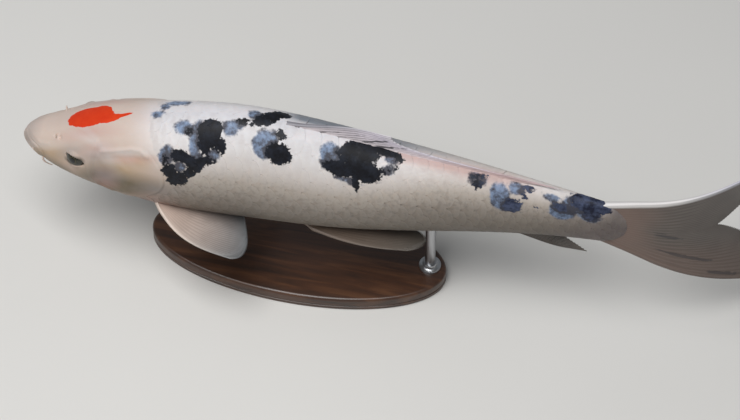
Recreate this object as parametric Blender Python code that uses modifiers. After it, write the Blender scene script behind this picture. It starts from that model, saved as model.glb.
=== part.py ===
"""A koi carp as a still, life-size display model on two rods and a flat oval base.

Metres, +Z up. The fish is modelled in its own frame: x runs back from the tip of the snout, y is its
right side, and z is measured from its axis. An empty carries that frame above the stand, whose base has
the origin at the centre of its underside. The head points to -X and the left flank to -Y.
"""

import bpy
import bmesh
import numpy as np

# --- driving sizes -------------------------------------------------------------------------------------

GAP = 0.0003                # between parts that touch
AXIS_HEIGHT = 0.105         # the fish's axis above the floor
STAND_X = 0.208             # the stand's centre, behind the snout

# The trunk's sections: distance behind the snout, level of the back and of the belly, half width, and
# the level of the widest point.
STATION = np.array([0.000, 0.008, 0.028, 0.060, 0.105, 0.175, 0.250, 0.330, 0.400, 0.450])
BACK = np.array([-0.0060, 0.0050, 0.0150, 0.0330, 0.0460, 0.0595, 0.0490, 0.0348, 0.0260, 0.0205])
BELLY = np.array([-0.0060, -0.0145, -0.0235, -0.0303, -0.0410, -0.0465, -0.0450, -0.0320, -0.0230, -0.0205])
HALF_WIDTH = np.array([0.0000, 0.0113, 0.0212, 0.0294, 0.0332, 0.0305, 0.0282, 0.0220, 0.0125, 0.0060])
WIDEST = np.array([-0.0060, -0.0055, -0.0050, -0.0030, 0.0000, 0.0040, 0.0030, 0.0010, 0.0000, 0.0000])
STANDARD_LENGTH = STATION[-1]

NECK_X = 0.097              # where the head meets the trunk on the back
MIDDLE_X = 0.212            # where the front and rear trunk meet
VENT_X = 0.345              # where the trunk meets the tail stalk
TAIL_ROOT_X = 0.438         # where the tail fin starts, on the upper and lower edge
TAIL_ROOT_END = 0.458       # the rounded end of the stalk, at mid height
TAIL_ROOT_HALF_HEIGHT = 0.0205
STALK_END_HALF_WIDTH = 0.0012

SWAY = 0.0045               # the gentle S of a swimming body, to each side
SWAY_LENGTH = 0.540
SWAY_START = 0.235
SWEEP_START = 0.4715        # behind this the tail fin swings to the right
SWEEP_RATE = 4.4

RING_POINTS = 32


# --- the trunk's surface -------------------------------------------------------------------------------

def natural_spline(knots, values, at):
    """The cubic through the knots whose second derivative is zero at both ends, one column a quantity."""
    step = np.diff(knots)
    count = len(knots)
    system = np.eye(count)
    right = np.zeros_like(values)
    for i in range(1, count - 1):
        system[i, i - 1:i + 2] = step[i - 1], 2 * (step[i - 1] + step[i]), step[i]
        right[i] = 6 * ((values[i + 1] - values[i]) / step[i] - (values[i] - values[i - 1]) / step[i - 1])
    bend = np.linalg.solve(system, right)
    i = np.clip(np.searchsorted(knots, at) - 1, 0, count - 2)
    t = (at - knots[i])[..., None]
    h = step[i][..., None]
    slope = (values[i + 1] - values[i]) / h - h * (2 * bend[i] + bend[i + 1]) / 6
    return values[i] + t * (slope + t * (bend[i] / 2 + t * (bend[i + 1] - bend[i]) / (6 * h)))


def section(x):
    """Back, belly, half width and widest level at x, splined over sqrt(x) so that the snout is round.

    Behind TAIL_ROOT_X the stalk closes in a half ellipse seen from the side and a wedge seen from above.
    """
    x = np.asarray(x, float)
    sizes = natural_spline(np.sqrt(STATION), np.stack([BACK, BELLY, HALF_WIDTH, WIDEST], 1),
                           np.sqrt(np.clip(x, 0, STANDARD_LENGTH)))
    back, belly, half_width, widest = np.moveaxis(sizes, -1, 0)
    end = np.clip((x - TAIL_ROOT_X) / (TAIL_ROOT_END - TAIL_ROOT_X), 0, 1)
    tall = np.sqrt(1 - end ** 2)
    half_width = half_width + (STALK_END_HALF_WIDTH - half_width) * end
    half_width = np.where(end < 1, half_width, 0.0)
    return back * tall, belly * tall, half_width, widest


def spine_y(x):
    """The spine's place across: a sine that fades out before the fork, and a parabola in the tail fin."""
    x = np.asarray(x, float)
    fade = np.clip((0.540 - x) / 0.080, 0, 1)
    sine = SWAY * np.sin(2 * np.pi * (x - SWAY_START) / SWAY_LENGTH) * fade
    return sine + SWEEP_RATE * np.clip(x - SWEEP_START, 0, None) ** 2


def flank_level(x, angle, grow=0.0):
    """Across and up, from the spine, of the section's point at this angle from the back, round the left.

    Above the widest level |z|^(2+0.35*head) + |y|^2.1 = 1, and below it |z|^2.25 + |y|^2.1 = 1.
    """
    back, belly, half_width, widest = section(x)
    sine, cosine = np.sin(angle), np.cos(angle)
    head = np.clip(1 - x / 0.110, 0, 1)
    above = widest + (back + grow - widest) * np.abs(cosine) ** (2 / (2.0 + 0.35 * head))
    below = widest + (belly - grow - widest) * np.abs(cosine) ** (2 / 2.25)
    across = -(half_width + grow) * np.sign(sine) * np.abs(sine) ** (2 / 2.1)
    return across, np.where(cosine > 0, above, below)


def at_spine(x, across, up):
    """The point this far across and up in the plane that stands square on the spine at x."""
    small = 0.001
    slope = (spine_y(x + small) - spine_y(x - small)) / (2 * small)
    length = np.sqrt(1 + slope ** 2)
    return np.stack(np.broadcast_arrays(x - across * slope / length, spine_y(x) + across / length, up), -1)


def body_point(x, angle, grow=0.0):
    return at_spine(x, *flank_level(x, angle, grow))


def side_point(x, level, outward=0.0):
    """The left flank's point at x and this level, moved this far outward along the surface's normal."""
    def angle_of(x, level):
        back, belly, _, widest = section(x)
        head = np.clip(1 - x / 0.110, 0, 1)
        high = np.clip((level - widest) / (back - widest), 0, 1) ** ((2.0 + 0.35 * head) / 2)
        low = np.clip((level - widest) / (belly - widest), 0, 1) ** (2.25 / 2)
        return np.arccos(np.where(level > widest, high, -low))

    angle = angle_of(x, level)
    small = 0.0005
    along = body_point(x + small, angle) - body_point(x - small, angle)
    around = body_point(x, angle + 0.01) - body_point(x, angle - 0.01)
    normal = np.cross(along, around)
    normal *= np.sign(np.sum(normal * np.array([0.0, -1.0, 0.0]), -1, keepdims=True))
    normal /= np.linalg.norm(normal, axis=-1, keepdims=True)
    return body_point(x, angle) + outward * normal


def mirrored(points):
    """The same points on the fish's other side: y is reflected in the spine."""
    points = points.copy()
    points[..., 1] = 2 * spine_y(points[..., 0]) - points[..., 1]
    return points


# --- making objects ------------------------------------------------------------------------------------

for old in list(bpy.data.objects):
    bpy.data.objects.remove(old)

parts = bpy.data.collections.new("koi_carp")
cutters = bpy.data.collections.new("cutters")
bpy.context.scene.collection.children.link(parts)
bpy.context.scene.collection.children.link(cutters)

fish = bpy.data.objects.new("fish_frame", None)
fish.location = (-STAND_X, 0, AXIS_HEIGHT)
parts.objects.link(fish)


def linear(hex_colour):
    """The linear colour of an sRGB hex value."""
    channels = np.array([int(hex_colour[i:i + 2], 16) for i in (0, 2, 4)]) / 255
    return (*np.where(channels < 0.04045, channels / 12.92, ((channels + 0.055) / 1.055) ** 2.4), 1.0)


def finish(obj, hex_colour, roughness, metallic=0.0):
    """Gives the object its own Principled material."""
    material = bpy.data.materials.new(obj.name)
    material.use_nodes = True
    shader = material.node_tree.nodes["Principled BSDF"]
    shader.inputs["Base Color"].default_value = linear(hex_colour)
    shader.inputs["Roughness"].default_value = roughness
    shader.inputs["Metallic"].default_value = metallic
    obj.data.materials.append(material)


def own(obj, collection, parent=fish):
    """Puts the object in this collection only, on this parent; a cutter isn't rendered."""
    for holder in obj.users_collection:
        holder.objects.unlink(obj)
    collection.objects.link(obj)
    obj.parent = parent
    if collection is cutters:
        obj.hide_render = True
        obj.display_type = "WIRE"
    return obj


def mesh_object(name, bm, collection, parent=fish):
    """An object with this bmesh, shaded smooth up to 40 degrees."""
    mesh = bpy.data.meshes.new(name)
    bm.to_mesh(mesh)
    bm.free()
    mesh.shade_smooth()
    mesh.set_sharp_from_angle(angle=np.radians(40))
    return own(bpy.data.objects.new(name, mesh), collection, parent)


def grid_faces(bm, points, around):
    """Quads between the rows of points, closed round when around is true. Returns the rows of vertices."""
    rows = [[bm.verts.new(point) for point in row] for row in points]
    last = len(rows[0]) if around else len(rows[0]) - 1
    for upper, lower in zip(rows, rows[1:]):
        for i in range(last):
            j = (i + 1) % len(upper)
            bm.faces.new((upper[i], upper[j], lower[j], lower[i]))
    return rows


def loft(name, stations, collection, grow=0.0):
    """The body between the first and last station as one solid, its skin moved out by grow."""
    angles = np.linspace(0, 2 * np.pi, RING_POINTS, endpoint=False)
    rings = body_point(stations[:, None], angles[None, :], grow)
    rings[0, :, 0] -= grow if stations[0] == 0 else 0.0
    rings[-1, :, 0] += grow if stations[-1] == TAIL_ROOT_END else 0.0
    bm = bmesh.new()
    rows = grid_faces(bm, rings, around=True)
    bm.faces.new(rows[0][::-1])
    bm.faces.new(rows[-1])
    bmesh.ops.remove_doubles(bm, verts=bm.verts, dist=1e-6)
    bmesh.ops.recalc_face_normals(bm, faces=bm.faces)
    return mesh_object(name, bm, collection)


def sheet(name, points, collection, thickness, margin_share=1.0, offset=0.0, turned=False):
    """A thin solid round a grid of points: full thickness in the first row, margin_share of it in the last."""
    bm = bmesh.new()
    grid_faces(bm, points[:, ::-1] if turned else points, around=False)
    obj = mesh_object(name, bm, collection)
    shell = obj.modifiers.new("thickness", "SOLIDIFY")
    shell.thickness = thickness
    shell.offset = offset
    if margin_share < 1:
        weights = obj.vertex_groups.new(name="thick")
        rows, columns = points.shape[:2]
        for row in range(rows):
            away = row / (rows - 1)
            weights.add(range(row * columns, (row + 1) * columns), 1 - (1 - margin_share) * away, "REPLACE")
        shell.vertex_group = "thick"
    return obj


def boolean(obj, cutter, operation="DIFFERENCE"):
    cut = obj.modifiers.new(cutter.name, "BOOLEAN")
    cut.object = cutter
    cut.operation = operation


# --- head, trunk and tail stalk ------------------------------------------------------------------------

head_stations = (NECK_X - GAP / 2) * np.linspace(0, 1, 14) ** 1.7
front_stations = np.linspace(NECK_X + GAP / 2, MIDDLE_X - GAP / 2, 8)
rear_stations = np.linspace(MIDDLE_X + GAP / 2, VENT_X - GAP / 2, 9)
stalk_end = TAIL_ROOT_X + (TAIL_ROOT_END - TAIL_ROOT_X) * np.sin(np.radians([22, 43, 62, 78, 90]))
stalk_stations = np.concatenate([np.linspace(VENT_X + GAP / 2, TAIL_ROOT_X, 7), stalk_end])

head = loft("head", head_stations, parts)
lower_jaw = loft("lower_jaw", head_stations, parts)
trunk_front = loft("trunk_front", front_stations, parts)
trunk_rear = loft("trunk_rear", rear_stations, parts)
tail_stalk = loft("tail_stalk", stalk_stations, parts)
whole = loft("body_clearance", np.concatenate([head_stations, front_stations, rear_stations, stalk_stations]),
             cutters, grow=GAP)

finish(head, "BFAFA2", 0.35)
finish(lower_jaw, "B5A491", 0.35)
finish(trunk_front, "CFC8C8", 0.38)
finish(trunk_rear, "CBC3BE", 0.38)
finish(tail_stalk, "9A9698", 0.38)

# The lower jaw is parted from the head along the mouth slit, which runs back and down from the lip to the
# mouth corner and then down across the throat.
MOUTH_FRONT = (-0.005, -0.0085)
MOUTH_CORNER = (0.018, -0.0150)
JAW_HINGE = (0.034, -0.0185)
THROAT = (0.040, -0.0400)
CHIN = (-0.005, -0.0400)


def side_prism(name, outline, half_depth):
    """The outline, drawn in side view, carried across the fish."""
    bm = bmesh.new()
    face = bm.faces.new([bm.verts.new((x, -half_depth, z)) for x, z in outline])
    carried = bmesh.ops.extrude_face_region(bm, geom=[face])["geom"]
    moved = [item for item in carried if isinstance(item, bmesh.types.BMVert)]
    bmesh.ops.translate(bm, verts=moved, vec=(0, 2 * half_depth, 0))
    bmesh.ops.recalc_face_normals(bm, faces=bm.faces)
    return mesh_object(name, bm, cutters)


def grown(outline, by):
    """The jaw outline with its upper edge raised and its rear edge moved back, for the cut in the head."""
    front, corner, hinge, throat, chin = outline
    return [(front[0], front[1] + by), (corner[0], corner[1] + by), (hinge[0] + by, hinge[1] + by),
            (throat[0] + by, throat[1]), chin]


jaw_outline = [MOUTH_FRONT, MOUTH_CORNER, JAW_HINGE, THROAT, CHIN]
boolean(lower_jaw, side_prism("jaw_region", jaw_outline, 0.045), "INTERSECT")
boolean(head, side_prism("jaw_cut", grown(jaw_outline, GAP), 0.046))

# --- eyes: balls set deep in sockets at the side of the head --------------------------------------------

EYE_X = 0.0472
EYE_LEVEL = 0.0064
EYE_RADIUS = 0.0090
EYE_DEPTH = 0.0065          # of the ball's centre under the skin

for side in ("left", "right"):
    centre = side_point(np.float64(EYE_X), EYE_LEVEL, outward=-EYE_DEPTH)
    if side == "right":
        centre = mirrored(centre)
    for name, radius, collection in ((f"eye_{side}", EYE_RADIUS, parts),
                                     (f"eye_socket_{side}", EYE_RADIUS + GAP, cutters)):
        bpy.ops.mesh.primitive_uv_sphere_add(segments=16, ring_count=10, radius=radius, location=centre)
        ball = own(bpy.context.object, collection)
        ball.name = name
        ball.data.shade_smooth()
        if collection is parts:
            finish(ball, "2B2A24", 0.08)
        else:
            boolean(head, ball)

# --- gill covers: thin plates bedded in the side of the head, a little proud at their rear edge ----------

COVER_FRONT = 0.062
COVER_REAR = 0.117
COVER_TOP_FRONT = 0.0215
COVER_TOP_REAR = 0.0310
COVER_BOTTOM = -0.0270
COVER_THICKNESS = 0.0035
COVER_PROUD = 0.0006
COVER_WIDEST = 0.38         # where down the rear edge it reaches furthest back


def gill_cover_points(margin=0.0, outward=0.0):
    """The plate's grid. The front edge bows forward; the rear edge is a round lobe that narrows below."""
    down = np.linspace(0, 1, 9)[:, None]
    back = np.linspace(0, 1, 7)[None, :]
    front_x = COVER_FRONT + 0.006 * (2 * down - 1) ** 2 - margin
    short_above = 0.013 * np.clip(1 - down / COVER_WIDEST, 0, 1) ** 2
    short_below = 0.040 * np.clip((down - COVER_WIDEST) / (1 - COVER_WIDEST), 0, 1) ** 2.2
    rear_x = COVER_REAR - short_above - short_below + margin
    x = front_x + (rear_x - front_x) * back
    top = COVER_TOP_FRONT + (COVER_TOP_REAR - COVER_TOP_FRONT) * back + margin
    level = top + (COVER_BOTTOM - margin - top) * down
    return side_point(x, level, outward + COVER_PROUD * back[..., None] ** 2)


for side in ("left", "right"):
    turn = mirrored if side == "right" else np.copy
    flipped = side == "left"
    cover = sheet(f"gill_cover_{side}", turn(gill_cover_points()), parts, COVER_THICKNESS,
                  offset=-1.0, turned=flipped)
    finish(cover, "A3998A", 0.35)
    pocket = sheet(f"gill_pocket_{side}", turn(gill_cover_points(margin=0.0004, outward=0.0015)), cutters,
                   COVER_THICKNESS + 0.0015 + GAP, offset=-1.0, turned=flipped)
    boolean(head, pocket)
    boolean(trunk_front, pocket)

# --- paired fins: fans of rays, thick at the root and thin at the margin ---------------------------------

ROOT_DEPTH = 0.003          # how far a fin's root is carried under the skin before it is trimmed


def unit(vector):
    vector = np.asarray(vector, float)
    return vector / np.linalg.norm(vector)


def fan_fin(front_root, rear_root, leading_ray, inner_side, spread, lengths, tip_round, bow, rows, rays):
    """A fan: rays leave the root line and turn from the leading ray towards the inner side.

    A ray's length runs through the leading, middle and trailing lengths as a parabola, and the leading
    rays lose up to tip_round of it, so that the tip is round. They bow forward by bow times their length.
    The first row is carried under the skin.
    """
    along = unit(leading_ray)
    inner = unit(np.array(inner_side) - along * (np.array(inner_side) @ along))
    ray = np.linspace(0, 1, rays)[None, :, None]
    out = np.linspace(0, 1, rows)[:, None, None]
    root = np.array(front_root) + (np.array(rear_root) - np.array(front_root)) * ray
    turn = np.radians(spread) * ray
    leading, middle, trailing = lengths
    control = 2 * middle - (leading + trailing) / 2
    length = leading * (1 - ray) ** 2 + 2 * control * ray * (1 - ray) + trailing * ray ** 2
    length = length * (1 - tip_round * (1 - ray) ** 8)
    points = (root + out * length * (np.cos(turn) * along + np.sin(turn) * inner)
              - bow * (1 - ray) * length * np.sin(np.pi * out) * inner)
    points[0] += ROOT_DEPTH * unit((0, -front_root[1], -front_root[2])) - 0.002 * along
    return points


pectoral = fan_fin(front_root=(0.107, -0.031, -0.027), rear_root=(0.116, -0.024, -0.033),
                   leading_ray=(68, -33, -9.5), inner_side=(0, 1, -0.15), spread=44,
                   lengths=(0.088, 0.0675, 0.056), tip_round=0.17, bow=0.155, rows=8, rays=12)
pelvic = fan_fin(front_root=(0.218, -0.0165, -0.0435), rear_root=(0.229, -0.011, -0.0455),
                 leading_ray=(82, -8, 3), inner_side=(0, 1, 0.1), spread=15,
                 lengths=(0.084, 0.086, 0.062), tip_round=0, bow=0.06, rows=7, rays=7)

for side in ("left", "right"):
    turn = mirrored if side == "right" else np.copy
    for name, points, thickness, colour in (("pectoral_fin", pectoral, 0.0030, "AA9C95"),
                                            ("pelvic_fin", pelvic, 0.0026, "8F847C")):
        fin = sheet(f"{name}_{side}", turn(points), parts, thickness, margin_share=0.24)
        boolean(fin, whole)
        finish(fin, colour, 0.45)

# --- dorsal and anal fin: folded low along the body ------------------------------------------------------

DORSAL_START = 0.200
DORSAL_BASE = 0.172
ANAL_START = 0.348
ANAL_BASE = 0.036
RISEN_BY = 0.8              # the share of a ray's length over which it rises


def folded_fin(start, base, rows, rays, ray_lengths, heights, fall, edge, lean):
    """A median fin laid back: each ray runs back along the body and rises from its edge, back or belly.

    Ray lengths and heights fall from the first ray's to the last ray's as (1 - ray)^fall, and a ray rises
    as 3t^2 - 2t^3. The first row is carried under the skin.
    """
    ray = np.linspace(0, 1, rays)[None, :]
    out = np.linspace(0, 1, rows)[:, None]
    fallen = (1 - ray) ** fall
    x = start + base * ray + (ray_lengths[1] + (ray_lengths[0] - ray_lengths[1]) * fallen) * out
    risen = np.clip(out / RISEN_BY, 0, 1)
    rise = (heights[1] + (heights[0] - heights[1]) * fallen) * risen ** 2 * (3 - 2 * risen)
    side = 1 if edge == 0 else -1
    rise = rise - np.where(out == 0, 0.002, 0.0)
    return np.stack([x, spine_y(x) + lean * rise, section(x)[edge] + side * rise], -1)


dorsal_fin = sheet("dorsal_fin", folded_fin(DORSAL_START, DORSAL_BASE, rows=7, rays=16,
                                            ray_lengths=(0.080, 0.034), heights=(0.015, 0.0025),
                                            fall=4, edge=0, lean=-0.08),
                   parts, 0.0026, margin_share=0.30)
anal_fin = sheet("anal_fin", folded_fin(ANAL_START, ANAL_BASE, rows=6, rays=7,
                                        ray_lengths=(0.080, 0.042), heights=(0.016, 0.008),
                                        fall=1, edge=1, lean=-0.12),
                 parts, 0.0026, margin_share=0.30)

# --- tail fin: two lobes with a fork between them, cupped to the left by the stroke ----------------------

TAIL_TIP = (0.573, 0.080)   # the lobes' tips, behind the snout and above or below the axis
TAIL_FORK_X = 0.5188
CUP_START = 0.458
CUP_RATE = 2.45


def tail_lobe_points(side, rows, rays):
    """Rays from the stalk's rounded end to the margin, each a parabola that opens towards the margin.

    away runs from 0 at mid height, where the fork is, to 1 at the outer edge, and side is 1 for the upper
    lobe. The root is the half ellipse of the stalk's end, and the margin has x as away and z as away^1.3.
    Half a gap parts the lobe from the other one.
    """
    away = np.linspace(0, 1, rays)[None, :]
    out = np.linspace(0, 1, rows)[:, None]
    root_x = TAIL_ROOT_X + (TAIL_ROOT_END - TAIL_ROOT_X) * np.sqrt(1 - away ** 2) - 0.002
    root_z = side * (GAP / 2 + TAIL_ROOT_HALF_HEIGHT * away ** 0.9)
    margin_x = TAIL_FORK_X + (TAIL_TIP[0] - TAIL_FORK_X) * away
    margin_z = side * (GAP / 2 + TAIL_TIP[1] * away ** 1.3)
    control_x = root_x + 0.5 * (margin_x - root_x)
    control_z = root_z + 0.4 * (margin_z - root_z)
    x = (1 - out) ** 2 * root_x + 2 * out * (1 - out) * control_x + out ** 2 * margin_x
    z = (1 - out) ** 2 * root_z + 2 * out * (1 - out) * control_z + out ** 2 * margin_z
    spread = np.clip(np.abs(z) / (0.020 + 0.5 * (x - STANDARD_LENGTH)), 0, 1)
    y = spine_y(x) + CUP_RATE * np.clip(x - CUP_START, 0, None) ** 2 * (1 - spread ** 2)
    return np.stack([x, y, z], -1)


tail_upper = sheet("tail_fin_upper", tail_lobe_points(1, rows=8, rays=11), parts, 0.0032, margin_share=0.24)
tail_lower = sheet("tail_fin_lower", tail_lobe_points(-1, rows=8, rays=11), parts, 0.0032, margin_share=0.24)

for fin in (dorsal_fin, anal_fin, tail_upper, tail_lower):
    boolean(fin, whole)
    finish(fin, "948E8F" if fin is dorsal_fin else "82786F", 0.45)

# --- barbels: two pairs at the mouth, the rear pair longer -----------------------------------------------

BARBELS = {                 # root's distance behind the snout, its level, length, root radius, direction
    "barbel_long": (0.0185, -0.0125, 0.016, 0.00110, (0.50, 0.30, -0.80)),
    "barbel_short": (0.0100, -0.0075, 0.008, 0.00080, (0.40, 0.20, -0.90)),
}
BARBEL_TIP_RADIUS = 0.00035

for side in ("left", "right"):
    for name, (root_x, root_level, length, radius, direction) in BARBELS.items():
        root = side_point(np.float64(root_x), root_level, outward=0.0004)
        outward = unit(side_point(np.float64(root_x), root_level, outward=0.001) - root)
        t = np.linspace(0, 1, 6)[:, None]
        turned_by = 0.30 * length * outward
        path = (1 - t) ** 2 * root + 2 * t * (1 - t) * (root + turned_by) \
            + t ** 2 * (root + 0.6 * turned_by + 0.8 * length * unit(direction))
        if side == "right":
            path = mirrored(path)
        curve = bpy.data.curves.new(f"{name}_{side}", "CURVE")
        curve.dimensions = "3D"
        curve.bevel_depth = radius
        curve.bevel_resolution = 2
        curve.use_fill_caps = True
        spline = curve.splines.new("POLY")
        spline.points.add(len(path) - 1)
        spline.points.foreach_set("co", np.hstack([path, np.ones((len(path), 1))]).ravel())
        spline.points.foreach_set("radius", (1 + (BARBEL_TIP_RADIUS / radius - 1) * t ** 0.8).ravel())
        barbel = own(bpy.data.objects.new(f"{name}_{side}", curve), parts)
        finish(barbel, "B9A99A", 0.4)

# --- stand: an oval wooden base and two steel rods that end under the belly ------------------------------

BASE_LENGTH = 0.230
BASE_WIDTH = 0.092
BASE_HEIGHT = 0.012
BASE_EDGE_ROUND = 0.0025
ROD_RADIUS = 0.0040
ROD_X = {"front": 0.138, "rear": 0.310}      # behind the snout; the rear rod clears the pelvic fins
ROD_BURY = 0.020                             # how far a rod runs up into the belly before it is trimmed

bpy.ops.mesh.primitive_cylinder_add(vertices=48, radius=0.5, depth=BASE_HEIGHT,
                                    location=(0, 0, BASE_HEIGHT / 2))
base = own(bpy.context.object, parts, parent=None)
base.name = "stand_base"
base.data.transform(((BASE_LENGTH, 0, 0, 0), (0, BASE_WIDTH, 0, 0), (0, 0, 1, 0), (0, 0, 0, 1)))
base.data.shade_smooth()
base.data.set_sharp_from_angle(angle=np.radians(40))
edge = base.modifiers.new("edge", "BEVEL")
edge.width = BASE_EDGE_ROUND
edge.segments = 2
edge.limit_method = "ANGLE"
finish(base, "3B2A20", 0.4)

for place, x in ROD_X.items():
    foot = BASE_HEIGHT + GAP
    top = AXIS_HEIGHT + float(section(np.float64(x))[1]) + ROD_BURY
    bpy.ops.mesh.primitive_cylinder_add(vertices=24, radius=ROD_RADIUS, depth=top - foot,
                                        location=(x - STAND_X, float(spine_y(x)), (top + foot) / 2))
    rod = own(bpy.context.object, parts, parent=None)
    rod.name = f"stand_rod_{place}"
    rod.data.shade_smooth()
    rod.data.set_sharp_from_angle(angle=np.radians(40))
    boolean(rod, whole)
    finish(rod, "B8B9BB", 0.3, metallic=1.0)
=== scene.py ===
import bpy
import numpy as np
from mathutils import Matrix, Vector


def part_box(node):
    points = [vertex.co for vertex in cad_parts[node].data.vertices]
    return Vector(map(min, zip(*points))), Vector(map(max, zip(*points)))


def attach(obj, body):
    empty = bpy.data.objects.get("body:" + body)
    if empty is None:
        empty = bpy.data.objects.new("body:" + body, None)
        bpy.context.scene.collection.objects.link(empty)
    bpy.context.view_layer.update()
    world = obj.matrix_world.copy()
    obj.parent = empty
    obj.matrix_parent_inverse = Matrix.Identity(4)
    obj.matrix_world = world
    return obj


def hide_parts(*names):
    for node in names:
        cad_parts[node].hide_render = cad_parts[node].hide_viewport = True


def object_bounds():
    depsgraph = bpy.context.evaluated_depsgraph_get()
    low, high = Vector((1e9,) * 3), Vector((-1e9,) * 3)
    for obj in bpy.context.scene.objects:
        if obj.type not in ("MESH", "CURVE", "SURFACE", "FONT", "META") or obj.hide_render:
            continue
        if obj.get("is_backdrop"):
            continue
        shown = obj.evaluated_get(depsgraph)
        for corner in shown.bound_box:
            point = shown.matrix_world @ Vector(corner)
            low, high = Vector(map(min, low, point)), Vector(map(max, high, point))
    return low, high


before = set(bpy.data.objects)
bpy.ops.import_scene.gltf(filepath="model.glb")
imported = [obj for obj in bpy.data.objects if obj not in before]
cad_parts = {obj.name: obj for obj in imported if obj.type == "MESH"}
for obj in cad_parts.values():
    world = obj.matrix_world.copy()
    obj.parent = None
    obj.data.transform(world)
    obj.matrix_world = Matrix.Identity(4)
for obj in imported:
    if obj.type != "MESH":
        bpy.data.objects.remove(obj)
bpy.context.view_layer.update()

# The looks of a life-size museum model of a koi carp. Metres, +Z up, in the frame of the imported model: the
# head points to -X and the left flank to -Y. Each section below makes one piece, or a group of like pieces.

MM = 0.001


# --- skin of the whole body -------------------------------
# One moist skin covers the head, the gill covers, the trunk and the tail stalk without a seam. It is cast
# in one piece: bare on the head, where the mouth, nostrils, eye sockets and gill covers are formed in it,
# and set back under the scales by their depth. It is painted before the scales are laid on it.

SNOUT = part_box("head")[0].x
AXIS = (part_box("tail_fin_upper")[1].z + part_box("tail_fin_lower")[0].z) / 2
SIDES = {"left": 1, "right": -1}

# The body's sections: distance behind the snout, level of the back and belly, half width, widest level.
STATION = np.array([0, 8, 28, 60, 105, 175, 250, 330, 400, 450]) * MM
BACK = np.array([-6, 5, 15, 33, 46, 59.5, 49, 34.8, 26, 20.5]) * MM
BELLY = np.array([-6, -14.5, -23.5, -30.3, -41, -46.5, -45, -32, -23, -20.5]) * MM
HALF_WIDTH = np.array([0, 11.3, 21.2, 29.4, 33.2, 30.5, 28.2, 22, 12.5, 6]) * MM
WIDEST = np.array([-6, -5.5, -5, -3, 0, 4, 3, 1, 0, 0]) * MM
HEAD_END = 110 * MM
SIDE_POWER = 2.1                # of the curve that each section follows, across and below
BELLY_POWER = 2.25
STALK_END_X = 438 * MM
STALK_TIP_X = 458 * MM
STALK_TIP_HALF_WIDTH = 1.2 * MM
SWAY = 4.5 * MM
SWAY_LENGTH = 540 * MM
SWAY_START = 235 * MM
SWAY_FADE = 80 * MM
SWEEP_START = 471.5 * MM
SWEEP_RATE = 4.4
SCALE_DEPTH = 0.6 * MM          # how far the skin lies back under the scales


def unit(vector):
    """The vector over its length."""
    vector = np.asarray(vector, float)
    return vector / np.linalg.norm(vector, axis=-1, keepdims=True)


def smooth(value, low, high):
    """0 below low, 1 above high, and 3t^2 - 2t^3 between them."""
    t = np.clip((value - low) / (high - low), 0, 1)
    return t * t * (3 - 2 * t)


def bump(distance, width):
    """A bell: e to the minus square of distance over width."""
    return np.exp(-(distance / width) ** 2)


def natural_spline(knots, values, at):
    """The cubic through the knots whose second derivative is zero at both ends, one column a quantity."""
    step = np.diff(knots)
    count = len(knots)
    system = np.eye(count)
    right = np.zeros_like(values)
    for i in range(1, count - 1):
        system[i, i - 1:i + 2] = step[i - 1], 2 * (step[i - 1] + step[i]), step[i]
        right[i] = 6 * ((values[i + 1] - values[i]) / step[i] - (values[i] - values[i - 1]) / step[i - 1])
    bend = np.linalg.solve(system, right)
    i = np.clip(np.searchsorted(knots, at) - 1, 0, count - 2)
    t = (at - knots[i])[..., None]
    h = step[i][..., None]
    slope = (values[i + 1] - values[i]) / h - h * (2 * bend[i] + bend[i + 1]) / 6
    return values[i] + t * (slope + t * (bend[i] / 2 + t * (bend[i + 1] - bend[i]) / (6 * h)))


def section(x):
    """Back, belly, half width and widest level at x: cubics over sqrt(x), closed round behind STALK_END_X."""
    sizes = natural_spline(np.sqrt(STATION), np.stack([BACK, BELLY, HALF_WIDTH, WIDEST], 1),
                           np.sqrt(np.clip(x, 0, STATION[-1])))
    back, belly, half_width, widest = np.moveaxis(sizes, -1, 0)
    end = np.clip((x - STALK_END_X) / (STALK_TIP_X - STALK_END_X), 0, 1)
    tall = np.sqrt(1 - end ** 2)
    half_width = np.where(end < 1, half_width + (STALK_TIP_HALF_WIDTH - half_width) * end, 0)
    return back * tall, belly * tall, half_width, widest


def spine_y(x):
    """The spine's place across: a sine that fades out before the fork, and a parabola in the tail fin."""
    fade = np.clip((SWAY_LENGTH - x) / SWAY_FADE, 0, 1)
    sine = SWAY * np.sin(2 * np.pi * (x - SWAY_START) / SWAY_LENGTH) * fade
    return sine + SWEEP_RATE * np.clip(x - SWEEP_START, 0, None) ** 2


def back_power(x):
    """The power of a section's curve above: 2 on the trunk, rising evenly to 2.35 at the snout."""
    return 2 + 0.35 * np.clip(1 - x / HEAD_END, 0, 1)


def flank_level(x, angle):
    """Across and up from the spine at this angle from the back, round the left.

    Above the widest level |z|^back_power + |y|^2.1 = 1, and below it |z|^2.25 + |y|^2.1 = 1.
    """
    back, belly, half_width, widest = section(x)
    sine, cosine = np.sin(angle), np.cos(angle)
    above = widest + (back - widest) * np.abs(cosine) ** (2 / back_power(x))
    below = widest + (belly - widest) * np.abs(cosine) ** (2 / BELLY_POWER)
    across = -half_width * np.sign(sine) * np.abs(sine) ** (2 / SIDE_POWER)
    return across, np.where(cosine > 0, above, below)


def angle_of(x, level):
    """The angle from the back at which the left flank has this level: flank_level turned round."""
    back, belly, _, widest = section(x)
    high = np.clip((level - widest) / (back - widest), 0, 1) ** (back_power(x) / 2)
    low = np.clip((level - widest) / (belly - widest), 0, 1) ** (BELLY_POWER / 2)
    return np.arccos(np.where(level > widest, high, -low))


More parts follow.
